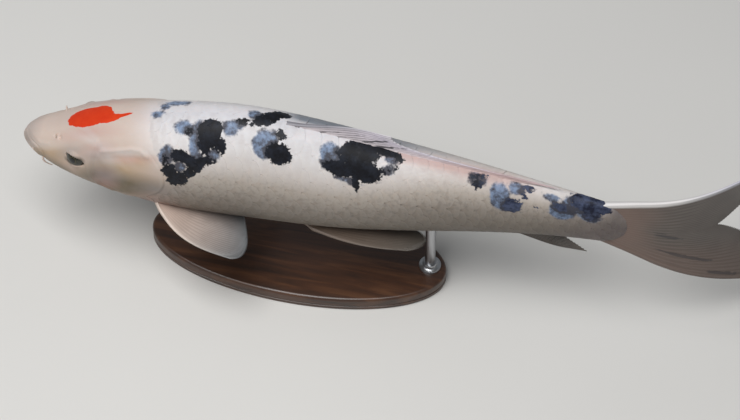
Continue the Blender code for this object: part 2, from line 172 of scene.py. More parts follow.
def body_point(x, angle):
    """The body's point at x and this angle, in the plane that stands square on the spine at x."""
    across, up = flank_level(x, angle)
    slope = (spine_y(x + MM) - spine_y(x - MM)) / (2 * MM)
    length = np.sqrt(1 + slope ** 2)
    return np.stack(np.broadcast_arrays(x - across * slope / length + SNOUT,
                                        spine_y(x) + across / length, up + AXIS), -1)


def body_normal(x, angle):
    """The outward normal: the cross product of the tangent round the body and the tangent along it."""
    ahead = body_point(x + 0.4 * MM, angle) - body_point(x - 0.4 * MM, angle)
    around = body_point(x, angle + 0.01) - body_point(x, angle - 0.01)
    return unit(np.cross(around, ahead))


# How far round from the back each point lies, as a table over x and angle, and that table turned round.
table_x = np.linspace(0, STALK_TIP_X - 0.1 * MM, 500)
table_angle = np.linspace(0, np.pi, 361)
ring_steps = np.linalg.norm(np.diff(body_point(table_x[:, None], table_angle), axis=1), axis=-1)
round_table = np.pad(np.cumsum(ring_steps, axis=1), ((0, 0), (1, 0)))
table_share = np.linspace(0, 1, 361)
angle_table = np.array([np.interp(table_share, row / row[-1], table_angle) for row in round_table[1:]])
angle_table = np.vstack([angle_table[:1], angle_table])


def read_table(table, x, share):
    """The table's value at x and at a share of its columns: a straight blend of the four entries round it."""
    row = np.clip(x / table_x[-1], 0, 1) * (len(table) - 1)
    column = np.clip(share, 0, 1) * (table.shape[1] - 1)
    r = np.minimum(row.astype(int), len(table) - 2)
    c = np.minimum(column.astype(int), table.shape[1] - 2)
    u, v = row - r, column - c
    near = table[r, c] * (1 - v) + table[r, c + 1] * v
    far = table[r + 1, c] * (1 - v) + table[r + 1, c + 1] * v
    return near * (1 - u) + far * u


def half_girth(x):
    """How far round the back lies from the belly at x."""
    return np.interp(x, table_x, round_table[:, -1])


def girth_place(x, angle):
    """How far round from the back: positive on the left, negative on the right; angle from -pi to pi."""
    return np.sign(angle) * read_table(round_table, x, np.abs(angle) / np.pi)


def girth_angle(x, place):
    """The angle at this distance round from the back; past the belly it goes on up the other side."""
    half = half_girth(x)
    place = np.where(place > half, place - 2 * half, np.where(place < -half, place + 2 * half, place))
    return np.sign(place) * read_table(angle_table, x, np.abs(place) / half)


COVER_REAR = 117 * MM           # the gill cover's rear edge, from its upper corner down to the throat
COVER_TOP = 31 * MM
COVER_BOTTOM = -27 * MM
COVER_WIDEST = 0.38


def cover_edge(level):
    """How far behind the snout the gill cover ends at this level: a round lobe that narrows below."""
    down = np.clip((COVER_TOP - level) / (COVER_TOP - COVER_BOTTOM), 0, 1)
    above = 13 * MM * np.clip(1 - down / COVER_WIDEST, 0, 1) ** 2
    below = 40 * MM * np.clip((down - COVER_WIDEST) / (1 - COVER_WIDEST), 0, 1) ** 2.2
    return COVER_REAR - above - below


def scales_start(level):
    """How far behind the snout the scales start: along the gill cover's edge and forward over the nape."""
    nape = -9 * MM * np.clip((level - COVER_TOP) / (15 * MM), 0, 1.2)
    breast = 0.6 * np.clip(COVER_BOTTOM - level, 0, None)
    return cover_edge(level) + nape + breast


FINE_END = 118 * MM             # the head's rows of points are close together, and the trunk's are not
skin_x = np.concatenate([
    FINE_END * np.linspace(0, 1, 236) ** 1.25,
    np.linspace(FINE_END, STALK_END_X, 105)[1:],
    STALK_END_X + (STALK_TIP_X - STALK_END_X) * np.sin(np.radians([12, 24, 36, 48, 58, 68, 76, 83, 90]))])
skin_angle = np.linspace(-np.pi, np.pi, 281)[:-1]
x, angle = np.meshgrid(skin_x[1:-1], skin_angle, indexing="ij")
across, level = flank_level(x, angle)
flank = np.stack([x, np.abs(across), level], -1)


def from_line(*places):
    """Each skin point's distance from a line over the unbent flank through these places, or from one place.

    A place is mm behind the snout and level in mm; across counts as positive on both sides.
    """
    line_x, line_level = np.array(places, float).T * MM
    corners = np.stack([line_x, np.abs(flank_level(line_x, angle_of(line_x, line_level))[0]), line_level], -1)
    nearest = np.linalg.norm(flank - corners[0], axis=-1)
    for start, end in zip(corners, corners[1:]):
        way = end - start
        share = np.clip((flank - start) @ way / (way @ way), 0, 1)[..., None]
        nearest = np.minimum(nearest, np.linalg.norm(flank - start - share * way, axis=-1))
    return nearest


# Mouth: a slit that falls towards its corner, between two rolled lips. Height, place above it and width, mm.
LIPS = [(-2.0, 0, 0.75), (0.9, 2.4, 1.5), (0.8, -2.3, 1.5), (-0.5, -5.2, 0.9)]
above_slit = level + 8.2 * MM + 0.37 * x
relief = sum(height * MM * bump(above_slit - up * MM, width * MM) for height, up, width in LIPS)
relief *= 1 - smooth(x, 14.5 * MM, 19 * MM)
# Ridges and grooves: height and width in mm, then the places each runs through. One place is a lump or pit.
RELIEF = [
    (-0.7, 1, (17, -14.5), (25, -17.4), (34, -18.5), (45, -20.5)),  # under the mouth
    (-0.5, 0.85, (3.6, 1), (9, -0.5), (15, -1), (20, -4), (21.5, -9), (18.5, -14)),  # over the upper lip
    (0.35, 1.5, (9, 3.4), (17.7, 3), (24, 6)),
    (-1.3, 1.1, (29.4, 12.6)), (-1.5, 1.6, (33.6, 14.2)), (0.5, 3.4, (31.5, 13.4)),  # nostril
    (0.8, 6, (47, 15.5)), (0.7, 9, (56, -7)),  # brow and cheek
    (0.6, 1.8, (65, 26), (61, 17), (59, 7), (60.5, -4), (66, -13), (75, -19)),  # cheek plate's edge
    (-0.45, 1.3, (68.5, 24), (65, 16), (63, 7), (64.5, -3), (69.5, -11), (78, -16)),
    (0.9, 1.7, (69, 21.5), (80, 25.5), (92, 29.5), (99, 30.3), (104, 27.5)),  # gill cover's top edge
    (-0.5, 2.4, (72, 17), (82, 20.5), (94, 24.5), (101, 24)),
    (0.6, 15, (90, 6)), (-0.9, 1, (80, -26), (74, -28), (66, -30.4), (60, -31.5)),  # its plate, its foot
    *((-0.3, 0.8, (42, -20 - down), (56, -23.5 - 0.9 * down), (70, -25.5 - 0.6 * down))
      for down in (0, 2.6, 5.2)),  # folds of the throat
    (1.1, 7, (110, -28)), (1, 7, (221, -46))]  # paired fins' bases
for height, width, *places in RELIEF:
    relief += height * MM * bump(from_line(*places), width * MM)
# The gill cover's rear edge stands off the shoulder, with a soft rim of membrane.
slope = (cover_edge(level + 0.5 * MM) - cover_edge(level - 0.5 * MM)) / MM
inside_cover = (cover_edge(level) - x) / np.sqrt(1 + slope ** 2)
edge_fade = smooth(level, COVER_BOTTOM - 2 * MM, COVER_BOTTOM + 3 * MM)
edge_fade *= 1 - smooth(level, COVER_TOP - 4 * MM, COVER_TOP + MM)
step = smooth(inside_cover, -0.5 * MM, 0.35 * MM)
relief += edge_fade * MM * (0.45 * step * np.exp(-np.clip(inside_cover, 0, None) / (6 * MM))
                            - 0.35 * (1 - step) * bump(np.clip(inside_cover, None, 0), 2.4 * MM)
                            - 0.12 * bump(inside_cover - 3.4 * MM, 0.8 * MM))

# Eye sockets: the skin passes under the eyeball in a tilted oval opening, and lies over the ball round it.
EYE_X = 47.2 * MM
EYE_LEVEL = 6.4 * MM
EYE_TILT = 23                   # degrees that the opening's rear end turns down
EYE_LONG = 7.8 * MM             # half the opening's length and height
EYE_SHORT = 3.4 * MM
LID = 0.4 * MM                  # how far the skin stands off the ball
RIM_RADIUS = 6.8 * MM
SOCKET_DEPTH = 4.5 * MM
eye_angle = angle_of(EYE_X, EYE_LEVEL)
eyes = {}
points = body_point(x, angle)
for side, turn in SIDES.items():
    low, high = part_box(f"eye_{side}")
    centre, radius = np.array((low + high) / 2), (high.x - low.x) / 2
    gaze = body_normal(EYE_X, turn * eye_angle)
    eyes[side] = centre, gaze, radius
    out = (points - centre) @ gaze
    offset = points - centre - out[..., None] * gaze
    off_axis = np.where(out > 0, np.linalg.norm(offset, axis=-1), 1)
    behind = unit(body_point(EYE_X + MM, turn * eye_angle) - body_point(EYE_X - MM, turn * eye_angle))
    below = np.cross(behind, gaze) * turn
    cosine, sine = np.cos(np.radians(EYE_TILT)), np.sin(np.radians(EYE_TILT))
    long_way, short_way = cosine * behind + sine * below, cosine * below - sine * behind
    opening = np.hypot((offset @ long_way - MM) / EYE_LONG, offset @ short_way / EYE_SHORT)
    over_ball = np.sqrt(np.clip(radius ** 2 - off_axis ** 2, 0, None)) - out
    lid = np.where(off_axis < radius, np.clip(over_ball + LID, 0, None), 0)
    shut = np.where(off_axis < 1, smooth(opening, 0.9, 1.1), 1)
    relief += (lid + 0.25 * MM * bump(off_axis - RIM_RADIUS, 1.6 * MM)) * shut - SOCKET_DEPTH * (1 - shut)

relief -= SCALE_DEPTH * smooth(x - scales_start(level), 2 * MM, 14 * MM)
points = points + relief[..., None] * body_normal(x, angle)
snout_tip = body_point(np.float64(0), np.float64(0))
stalk_tip = body_point(STALK_TIP_X, np.float64(0)) - (SCALE_DEPTH, 0, 0)

# Markings, as soft ovals in mm: centre behind the snout, centre round from the back (left is +), half
# length, half width, and turn in degrees. Black lies at the surface and blue-grey is black under the skin.
BLACK = [
    (149, 14.5, 9.8, 9.8, 0), (151, 25, 10.3, 8, 15), (158, 27, 4, 6.5, 0), (147, 38, 8, 4.4, -12),
    (133.5, 14.5, 3, 3.6, 30), (129, 34, 7.5, 5.5, 25), (121, 46, 6, 6, 0), (127, 54, 8, 8.3, 0),
    (137, 46, 9, 6, -40), (136, 39.5, 7, 4.6, -20), (117.5, 37, 2, 5, 0), (172.5, 4.8, 6, 3, 0),
    (190.5, -2, 14.5, 5.5, -34), (198, -8, 6.5, 5, 0), (211, 0.5, 7, 1.4, -18), (200.5, 24.3, 9.6, 9, 0),
    (199.5, 9.5, 4.2, 3.4, 20), (258, 12, 14.5, 12.3, 0), (262, 20, 14, 10.6, 0), (244, 25, 12, 5.8, 5),
    (257.5, 33, 2.8, 7.5, 0), (276, 3.5, 12.5, 3.6, 3), (263, -2, 8.5, 2.4, -12), (276, -2.2, 6, 1.1, -8),
    (243, 12.5, 3.2, 1.8, 0), (277.5, 17, 4, 2.4, -10), (284.3, 13.3, 2.2, 2, 30), (286.8, 6.5, 2.6, 2.8, 0),
    (343.5, 4.8, 7.5, 1.8, -15), (344.5, 10, 4.1, 4.3, 0), (371.5, 20.3, 7, 6, -20), (382, 4, 4.6, 2.3, -8),
    (379.2, 10.4, 3.3, 2.2, 0), (386, 16.8, 1.8, 1.4, 0), (390, 17.8, 2, 1.2, 0), (427, 3, 16, 8, 3),
    (429, 12, 6.5, 4.8, 0), (438, 4.5, 6, 3.5, 10), (430, -8, 14, 8, 0), (406.5, 12.3, 5, 3.2, 0),
    (146, -45, 15, 8, -15), (163, -34, 8, 6, 20), (134, -56, 7, 6, 0), (157, -55, 5, 7, 30),
    (222, -45, 7, 6, 15), (231, -38, 5, 4, -10), (286, -36, 17, 6.5, 8), (303, -29, 9, 5.5, 5),
    (271, -43, 7, 6, 0), (297, -45, 5, 8, 10), (352, -23, 5, 3.5, 0), (398, -15, 12, 5, -6),
    (384, -21, 6, 4, 0)]
BLUE = [
    (119, -13, 10, 4.5, 0), (110.5, -7, 4, 3.2, 20), (106.5, 1, 5.5, 3, 0), (130, 12.5, 8, 5.5, 10),
    (139.5, 20, 4.8, 15, 5), (118.5, 34, 6, 8.5, 0), (129.5, 43, 5, 5.5, 0), (140.5, 34.5, 5.5, 5, 0),
    (153, 32, 6, 6, 0), (163, 11.5, 6.5, 5.5, 0), (179, -2, 5.5, 4.5, -20), (168, 8, 7, 3.5, 0),
    (189.5, 20, 9, 11, 0), (196, 13, 4, 6, 0), (237, 16, 8, 9.5, 0), (238, 22, 8, 6, 0),
    (250, 31.5, 13, 2.6, 5), (281, 8, 6, 4, 0), (279, 17, 5, 3.5, 0), (272, 26.5, 3, 1.6, 0),
    (344, 7, 7, 5.5, 0), (361.5, 15, 7.5, 10.5, -10), (373, 6.5, 6.5, 4.5, 0), (367, 20, 8, 6.5, 0),
    (399.5, 6, 6.5, 2.6, 0), (407, 15.5, 9.5, 7, 0), (415, 7, 8, 7, 0), (428, 13, 9, 6, 0),
    (133, -41, 9, 8, 0), (160, -47, 8, 8, 0), (214, -39, 7, 6, 0), (274, -32, 9, 6, 0), (308, -38, 6, 8, 0),
    (345, -21, 5, 5, 0), (388, -13, 7, 5, 0), (405, -21, 6, 4, 0)]
BLACK_GAPS = [
    (275, 13.5, 4, 2.2, 25), (281, 11.2, 4.5, 1.8, -12), (270.5, 15, 2.2, 1.2, 40), (282, 15, 2, 1, 0),
    (129.5, 43, 4.2, 4.4, 0), (153.5, 32, 4, 4, 0), (419.5, 13.8, 4, 2.4, 0)]
RED = [(54, 1.5, 17.5, 9.3, 0), (62, -2, 8.5, 6.5, 0), (66, 3, 8, 6, 0), (72, 4.6, 7, 3, -15),
    (80, 2.4, 8, 1.5, -18)]
EDGE_RUN = 3 * MM               # over which a marking's value falls from 1 to 0.5, its edge

# Tints of the bare head, soft over TINT_RUN: painted highlights along the head's ridges, yellow-tan, olive
# with painted shade over the lower head, grey and pink.
TINTS = {
    "ridge_highlight": [(21, 19, 3.8, 0.9, 10), (90, 31, 12, 1.5, 0), (69, 26.5, 7, 0.9, 42), (75, 34, 3, 1.6, 60),
        (62, 22.5, 5, 0.8, 25)],
    "tan": [(29, 28, 9, 5, 30), (86, 45, 12, 6, 20), (99, 39, 4, 4, 0), (22, 26, 5, 4, 30)],
    # The olive tint darkens the lower half of the head: partly the head's own olive-grey, partly painted
    # shade.
    "olive_and_shade": [(31, 47, 20, 7, 44), (52, 64, 16, 8, 30), (82, 65, 30, 14, 0), (66, 53, 15, 9, 0),
        (19, 35, 7, 4, 55)],
    "grey": [(45, 28, 7, 3.4, 0), (66, 36, 8, 4, 15), (4, 9, 6, 9, 0), (72, 53, 10, 7, 0),
        (112, 66, 12, 6, 0)],
    "pink": [(66, 28, 6, 3.5, 0), (57, 15, 14, 4, 0), (72, 60, 7, 10, 0), (92, 36.5, 10, 2, 0)],
}
TINT_RUN = 9 * MM


def marking(ovals, x, place, run=EDGE_RUN):
    """1 inside the ovals, 0.5 at their edge and 0 away from them.

    Each oval gives 0.5 + (1 - r) sqrt(ab) / (2 run), where r is the distance from its centre over its
    reach that way and a and b are its half length and width. The largest counts.
    """
    value = np.zeros(np.shape(x))
    for along, around, long, wide, turn in ovals:
        cosine, sine = np.cos(np.radians(turn)), np.sin(np.radians(turn))
        dx, dp = x - along * MM, place - around * MM
        r = np.hypot((dx * cosine + dp * sine) / (long * MM), (dp * cosine - dx * sine) / (wide * MM))
        value = np.maximum(value, 0.5 + (1 - r) * np.sqrt(long * wide) * MM / (2 * run))
    return np.clip(value, 0, 1)


def between(x, start, full, fade, end):
    """0 before start mm, 1 from full mm to fade mm, and 0 past end mm."""
    return smooth(x, start * MM, full * MM) * (1 - smooth(x, fade * MM, end * MM))


def skin_fields(x, place, level):
    """What the paint needs at each point: the markings, the tints, and the shares of the body's regions."""
    share = np.abs(place) / half_girth(x) + 0.2 * smooth(x, 230 * MM, 340 * MM)
    fields = {tint: marking(ovals, x, np.abs(place), TINT_RUN) for tint, ovals in TINTS.items()}
    fin_flush = between(x, 255, 290, 350, 400) \
        * bump(np.clip(np.abs(place - 2 * MM) - 1.5 * MM, 0, None), 5 * MM)
    breast_flush = bump(np.hypot(x - 108 * MM, level + 22 * MM), 16 * MM)
    eye_oval = (EYE_X / MM + 0.8, girth_place(EYE_X, eye_angle) / MM + 0.6, EYE_LONG / MM, EYE_SHORT / MM,
                EYE_TILT)
    fields.update(
        black=np.minimum(marking(BLACK, x, place), 1 - marking(BLACK_GAPS, x, place)),
        blue=marking(BLUE, x, place),
        red=marking(RED, x, place),
        share=share,
        blush=np.maximum(np.maximum(fin_flush, 0.6 * breast_flush), fields.pop("pink")),
        # Painted shade on the far side of the back, beside the dorsal fin's front, laid on as a blue-grey.
        shade=between(-place, 1.5, 7, 20, 34) * between(x, 193, 212, 260, 350),
        # A dark oval over the eye's opening: the dark skin of its rim, and painted shade in the sunken socket
        # round the ball.
        eye_rim=marking([eye_oval], x, np.abs(place), 1.5 * MM),
        head=1 - smooth(x - scales_start(level), -20 * MM, 24 * MM),
        tip=np.maximum(share * 1.4 * smooth(x, 385 * MM, 450 * MM), 0.9 * smooth(x, 430 * MM, 448 * MM)),
        navy=smooth(x, 320 * MM, 375 * MM))
    return fields


def new_piece(name, points, faces, material, fields=None, sharp=None):
    """A smooth mesh object at the origin. A closed mesh whose signed volume is negative is turned round."""
    mesh = bpy.data.meshes.new(name)
    mesh.from_pydata(points, [], faces)
    corners = np.empty(3 * len(mesh.loop_triangles), int)
    mesh.loop_triangles.foreach_get("vertices", corners)
    first, second, third = points[corners].reshape(-1, 3, 3).transpose(1, 0, 2)
    if np.sum(np.cross(first, second) * third) < 0:
        mesh.clear_geometry()
        mesh.from_pydata(points, [], [face[::-1] for face in faces])
    mesh.shade_smooth()
    if sharp:
        mesh.set_sharp_from_angle(angle=np.radians(sharp))
    for field, values in (fields or {}).items():
        layer = mesh.attributes.new(field, "FLOAT", "POINT")
        layer.data.foreach_set("value", np.asarray(values, np.float32).ravel())
    mesh.materials.append(material)
    piece = bpy.data.objects.new(name, mesh)
    bpy.context.scene.collection.objects.link(piece)
    return piece


def grid_quads(rows, columns, closed=False):
    """Quads between the points of a grid numbered row by row, joined round when closed."""
    r, c = np.meshgrid(np.arange(rows - 1), np.arange(columns if closed else columns - 1), indexing="ij")
    after = (c + 1) % columns
    corners = r * columns + c, r * columns + after, (r + 1) * columns + after, (r + 1) * columns + c
    return np.stack(corners, -1).reshape(-1, 4)


def closed_rings(rings, first_end, last_end):
    """Points and faces of a surface through these rings, closed by a fan to a point at each end."""
    rows, columns = rings.shape[:2]
    ring = np.arange(columns)
    after = (ring + 1) % columns
    last = (rows - 1) * columns
    faces = grid_quads(rows, columns, closed=True).tolist()
    for fan in ((after, ring, rows * columns), (last + ring, last + after, rows * columns + 1)):
        faces += np.stack(np.broadcast_arrays(*fan), 1).tolist()
    return np.vstack([rings.reshape(-1, 3), first_end, last_end]), faces


def linear(hex_colour):
    """The linear colour of an sRGB hex value."""
    channels = np.array([int(hex_colour[i:i + 2], 16) for i in (0, 2, 4)]) / 255
    return (*np.where(channels < 0.04045, channels / 12.92, ((channels + 0.055) / 1.055) ** 2.4), 1.0)


def fill(made, inputs):
    """Gives a node's inputs, by name or number, each a link, a value, or a hex value's linear colour."""
    for socket, value in inputs.items():
        if isinstance(value, bpy.types.NodeSocket):
            made.id_data.links.new(value, made.inputs[socket])
        else:
            made.inputs[socket].default_value = linear(value) if isinstance(value, str) else value


def node(tree, kind, inputs, **settings):
    """Adds a shader node with its settings, and fills its inputs. Returns its outputs."""
    made = tree.nodes.new("ShaderNode" + kind)
    for setting, value in settings.items():
        setattr(made, setting, value)
    fill(made, inputs)
    return made.outputs


def layered(tree, colour, layers):
    """The colour under these layers, each a cover, a tone, and masks as (value, where 0, where 1).

    A mask rises evenly from 0 to 1 between its two values, and a layer's masks multiply its cover.
    """
    for cover, tone, *masks in layers:
        for value, none, whole in masks:
            cover = node(tree, "MapRange", {"Value": value, "From Min": none, "From Max": whole,
                                            "To Max": cover})[0]
        colour = node(tree, "Mix", {0: cover, 6: colour, 7: tone}, data_type="RGBA")[2]
    return colour


def run_of(value, stops):
    """Layers that turn from each stop's tone to the next one's as the value goes from stop to stop."""
    return [(1, tone, (value, low, high)) for (low, _), (high, tone) in zip(stops, stops[1:])]


def new_material(name):
    """A material, its node tree, its Principled shader, and the object coordinates."""
    material = bpy.data.materials.new(name)
    material.use_nodes = True
    tree = material.node_tree
    return material, tree, tree.nodes["Principled BSDF"], node(tree, "TexCoord", {})["Object"]


# The ground tones from the back to the belly, darkening down the flank partly as painted shade, and the
# tints' covers and tones in the order they are laid on: among them painted highlights on the head's ridges,
# and painted shade on the lower head, in the eye's socket and over the far side of the back.
FLANK_TONES_AND_SHADE = [(0, "D3D0D4"), (0.19, "E3DDDB"), (0.3, "D9CFC9"), (0.42, "BAAEA3"), (0.57, "92887E"),
         (0.76, "786F65"), (1, "665E57")]
TINT_LAYERS = [("head", 0.8, "C3AD9E"), ("tan", 0.75, "B3966F"), ("olive_and_shade", 0.9, "6A604A"),
               ("blush", 0.65, "B98F87"), ("grey", 0.6, "858384"), ("ridge_highlight", 0.5, "D4D4D6"),
               ("shade", 0.9, "69727E"), ("tip", 1, "655B5A"), ("eye_rim", 0.85, "38342D")]


def painted_skin(name, fields):
    """Fish skin: white guanine under a clear wet epidermis. It gives a soft satin gloss over a milky white
    that warms and darkens down the flank, the darkening partly painted shade, with black that reads
    blue-grey where it lies deeper. Scales add their own tones: dark specks, a shaded pocket at each root,
    and fine growth rings."""
    material, tree, shader, place = new_material(name)
    value = {field: node(tree, "Attribute", {}, attribute_name=field)["Fac"] for field in fields}
    cloud, grain, specks, pores = (
        node(tree, "TexNoise", {"Vector": place, "Scale": 1 / (size * MM), "Detail": detail})["Fac"]
        for size, detail in ((7, 3), (2.2, 3), (3.2, 4), (0.9, 2)))
    # Masks: a field plus wander times the cloud and grit times the grain, from none..whole to 0..1.
    mask = {}
    for kind, field, wander, grit, none, whole, way in (
            ("blue", value["blue"], 1.0, 0.5, 1.03, 1.47, "SMOOTHSTEP"),
            ("black", value["black"], 0.7, 1.1, 1.32, 1.52, "SMOOTHSTEP"),
            ("red", value["red"], 0.5, 0.25, 0.825, 0.925, "SMOOTHSTEP"),
            ("deep", value["black"], 1.5, 0.9, 1.0, 1.5, "LINEAR"),
            ("veil", 0, 1.5, 0.9, 1.0, 1.5, "LINEAR")):
        moved = node(tree, "Math", {0: cloud, 1: wander, 2: field}, operation="MULTIPLY_ADD")[0]
        moved = node(tree, "Math", {0: grain, 1: grit, 2: moved}, operation="MULTIPLY_ADD")[0]
        mask[kind] = node(tree, "MapRange", {"Value": moved, "From Min": none, "From Max": whole},
                          interpolation_type=way)[0], 0, 1

    layers = run_of(value["share"], FLANK_TONES_AND_SHADE)
    layers += [(cover, tone, (value[tint], 0, 1)) for tint, cover, tone in TINT_LAYERS]
    if "exposed" in fields:
        spot = node(tree, "MapRange", {"Value": value["share"], "From Min": 0.35, "From Max": 0.6,
                                       "To Min": 0.04, "To Max": 0.54})[0]
        pocket = node(tree, "MapRange", {"Value": value["exposed"], "From Min": 0.72, "From Max": 0.5},
                      interpolation_type="SMOOTHSTEP")[0]
        layers += [(spot, "6A6055", (pocket, 0, 1), (grain, 0, 1)),
                   (0.38, "6A645F", (specks, 0.5, 0.66), (value["share"], 0.28, 0.55)),
                   (0.03, "F2EEEA", (value["exposed"], 0.86, 1)),
                   (0.06, "AFA59B", (value["tone"], 0, 1))]
    sunk_blue = layered(tree, "778CAB", [(1, "1D2538", mask["deep"])])
    rear_black = layered(tree, "1B1E2E", [(1, "464E66", mask["veil"])])
    black = layered(tree, "131318", [(1, "20232C", mask["veil"]), (1, rear_black, (value["navy"], 0, 1))])
    red = layered(tree, "C42C0C", [(1, "D8431B", (cloud, 0, 1))])
    layers += [(0.1, "B4A79C", (cloud, 0.35, 0.7)), (0.9, sunk_blue, mask["blue"]), (1, black, mask["black"]),
               (1, red, mask["red"])]

    if "exposed" in fields:
        rings = node(tree, "UVMap", {}, uv_map="plate")[0]
        rings = node(tree, "TexWave", {"Vector": rings, "Scale": 1 / (1.1 * MM) / 6, "Distortion": 1.0},
                     wave_type="RINGS", rings_direction="SPHERICAL")["Fac"]
        pores = node(tree, "Math", {0: rings, 1: 0.2, 2: pores}, operation="MULTIPLY_ADD")[0]
    fill(shader, {
        "Base Color": layered(tree, FLANK_TONES_AND_SHADE[0][1], layers),
        "Roughness": node(tree, "MapRange", {"Value": grain, "To Min": 0.42, "To Max": 0.6})[0],
        "Normal": node(tree, "Bump", {"Height": pores, "Strength": 0.25, "Distance": 0.15 * MM})[0],
        "Subsurface Weight": 0.12, "Subsurface Radius": (1.0, 0.6, 0.45), "Subsurface Scale": 0.003,
        "Coat Weight": 0.04, "Coat Roughness": 0.3, "Specular IOR Level": 0.35, "IOR": 1.35})
    return material


fields = {field: np.append(values.ravel(), values[[0, -1], 0])
          for field, values in skin_fields(x, girth_place(x, angle), level).items()}
skin_points, faces = closed_rings(points, snout_tip, stalk_tip)
skin = new_piece("skin", skin_points, faces, painted_skin("wet_fish_skin", fields), fields)
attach(skin, "root")
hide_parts("head", "lower_jaw", "gill_cover_left", "gill_cover_right", "trunk_front", "trunk_rear",
            "tail_stalk")


# --- scales -----------------------------------------------
# About thirty-four scales lie along the lateral line of a carp and six or so rows above and below it. Each
# is a thin bony plate, rooted in a pocket of the skin at its front and free at its round rear edge, which
# lies over the plates behind it. The rows that reach the back run out along the dorsal fin's base.

LINE_AT = np.array([80, 113, 140, 175, 250, 330, 458]) * MM
LINE_LEVEL = np.array([24, 16, 10.5, 7, 3, 1, 0]) * MM     # the lateral line's fall down the flank
SPACING_AT = np.array([60, 85, 110, 135, 285, 330, 375, 458]) * MM
SPACING = np.array([8, 8.5, 9.5, 12, 12.2, 10.2, 8.2, 7]) * MM
ROWS_AT = np.array([80, 215, 290, 372, 470]) * MM
ROWS_ABOVE = [6, 6, 5, 4, 4]
ROWS_BELOW = [7, 7, 6, 4, 4]
LAST_PLATE = 451.5 * MM
PECTORAL_X, PECTORAL_LEVEL, PECTORAL_CLEAR = 111 * MM, -28 * MM, 8.5 * MM     # bare skin round the fin's root
REAR_STANDS = 0.08 * MM         # how far a plate's rear edge stands off the body's surface
TILT = 0.22 * MM                # a plate's rise over one spacing
PLATE_WALL = 0.42 * MM
ROOT_DROP = 0.55 * MM           # how much deeper its root goes
GRID_TURN = np.radians(np.linspace(-90, 90, 9))
GRID_BACK = np.array([0, 0.3, 0.52, 0.7, 0.85, 0.95, 1.0])
BAKE_SPAN = 0.48                # metres of skin across the whole of the OFBake map
BAKE_PATCH = 0.003              # a plate's patch in it


def lateral_line(x):
    """How far round from the back the lateral line lies at x."""
    level = natural_spline(LINE_AT, LINE_LEVEL[:, None], x)[..., 0]
    return girth_place(x, angle_of(x, level))


def row_width(x, row):
    """How far round one row reaches: an equal share of the flank above, or below, the lateral line."""
    line = lateral_line(x)
    return np.where(row < 0, line / np.interp(x, ROWS_AT, ROWS_ABOVE),
                    (half_girth(x) - line) / np.interp(x, ROWS_AT, ROWS_BELOW))


def row_place(x, row):
    """How far round from the back this row lies, counted down from the lateral line."""
    return lateral_line(x) + row * row_width(x, row)


def start_gap(x, row):
    """How far this row's scales lie behind the place where the scales start."""
    return x - scales_start(flank_level(x, girth_angle(x, row_place(x, row)))[1])


def border_of(rows, columns):
    """The numbers of a grid's border points, in order round it."""
    number = np.arange(rows * columns).reshape(rows, columns)
    return np.concatenate([number[0], number[1:, -1], number[-1, -2::-1], number[-2:0:-1, 0]])


fine_x = np.linspace(60 * MM, 455 * MM, 800)
columns_passed = np.cumsum(np.diff(fine_x, prepend=fine_x[0]) / np.interp(fine_x, SPACING_AT, SPACING))
half_steps = np.arange(0, 2 * columns_passed[-1]).astype(int)
all_x = np.interp(half_steps / 2, columns_passed, fine_x)
rng = np.random.default_rng(11)

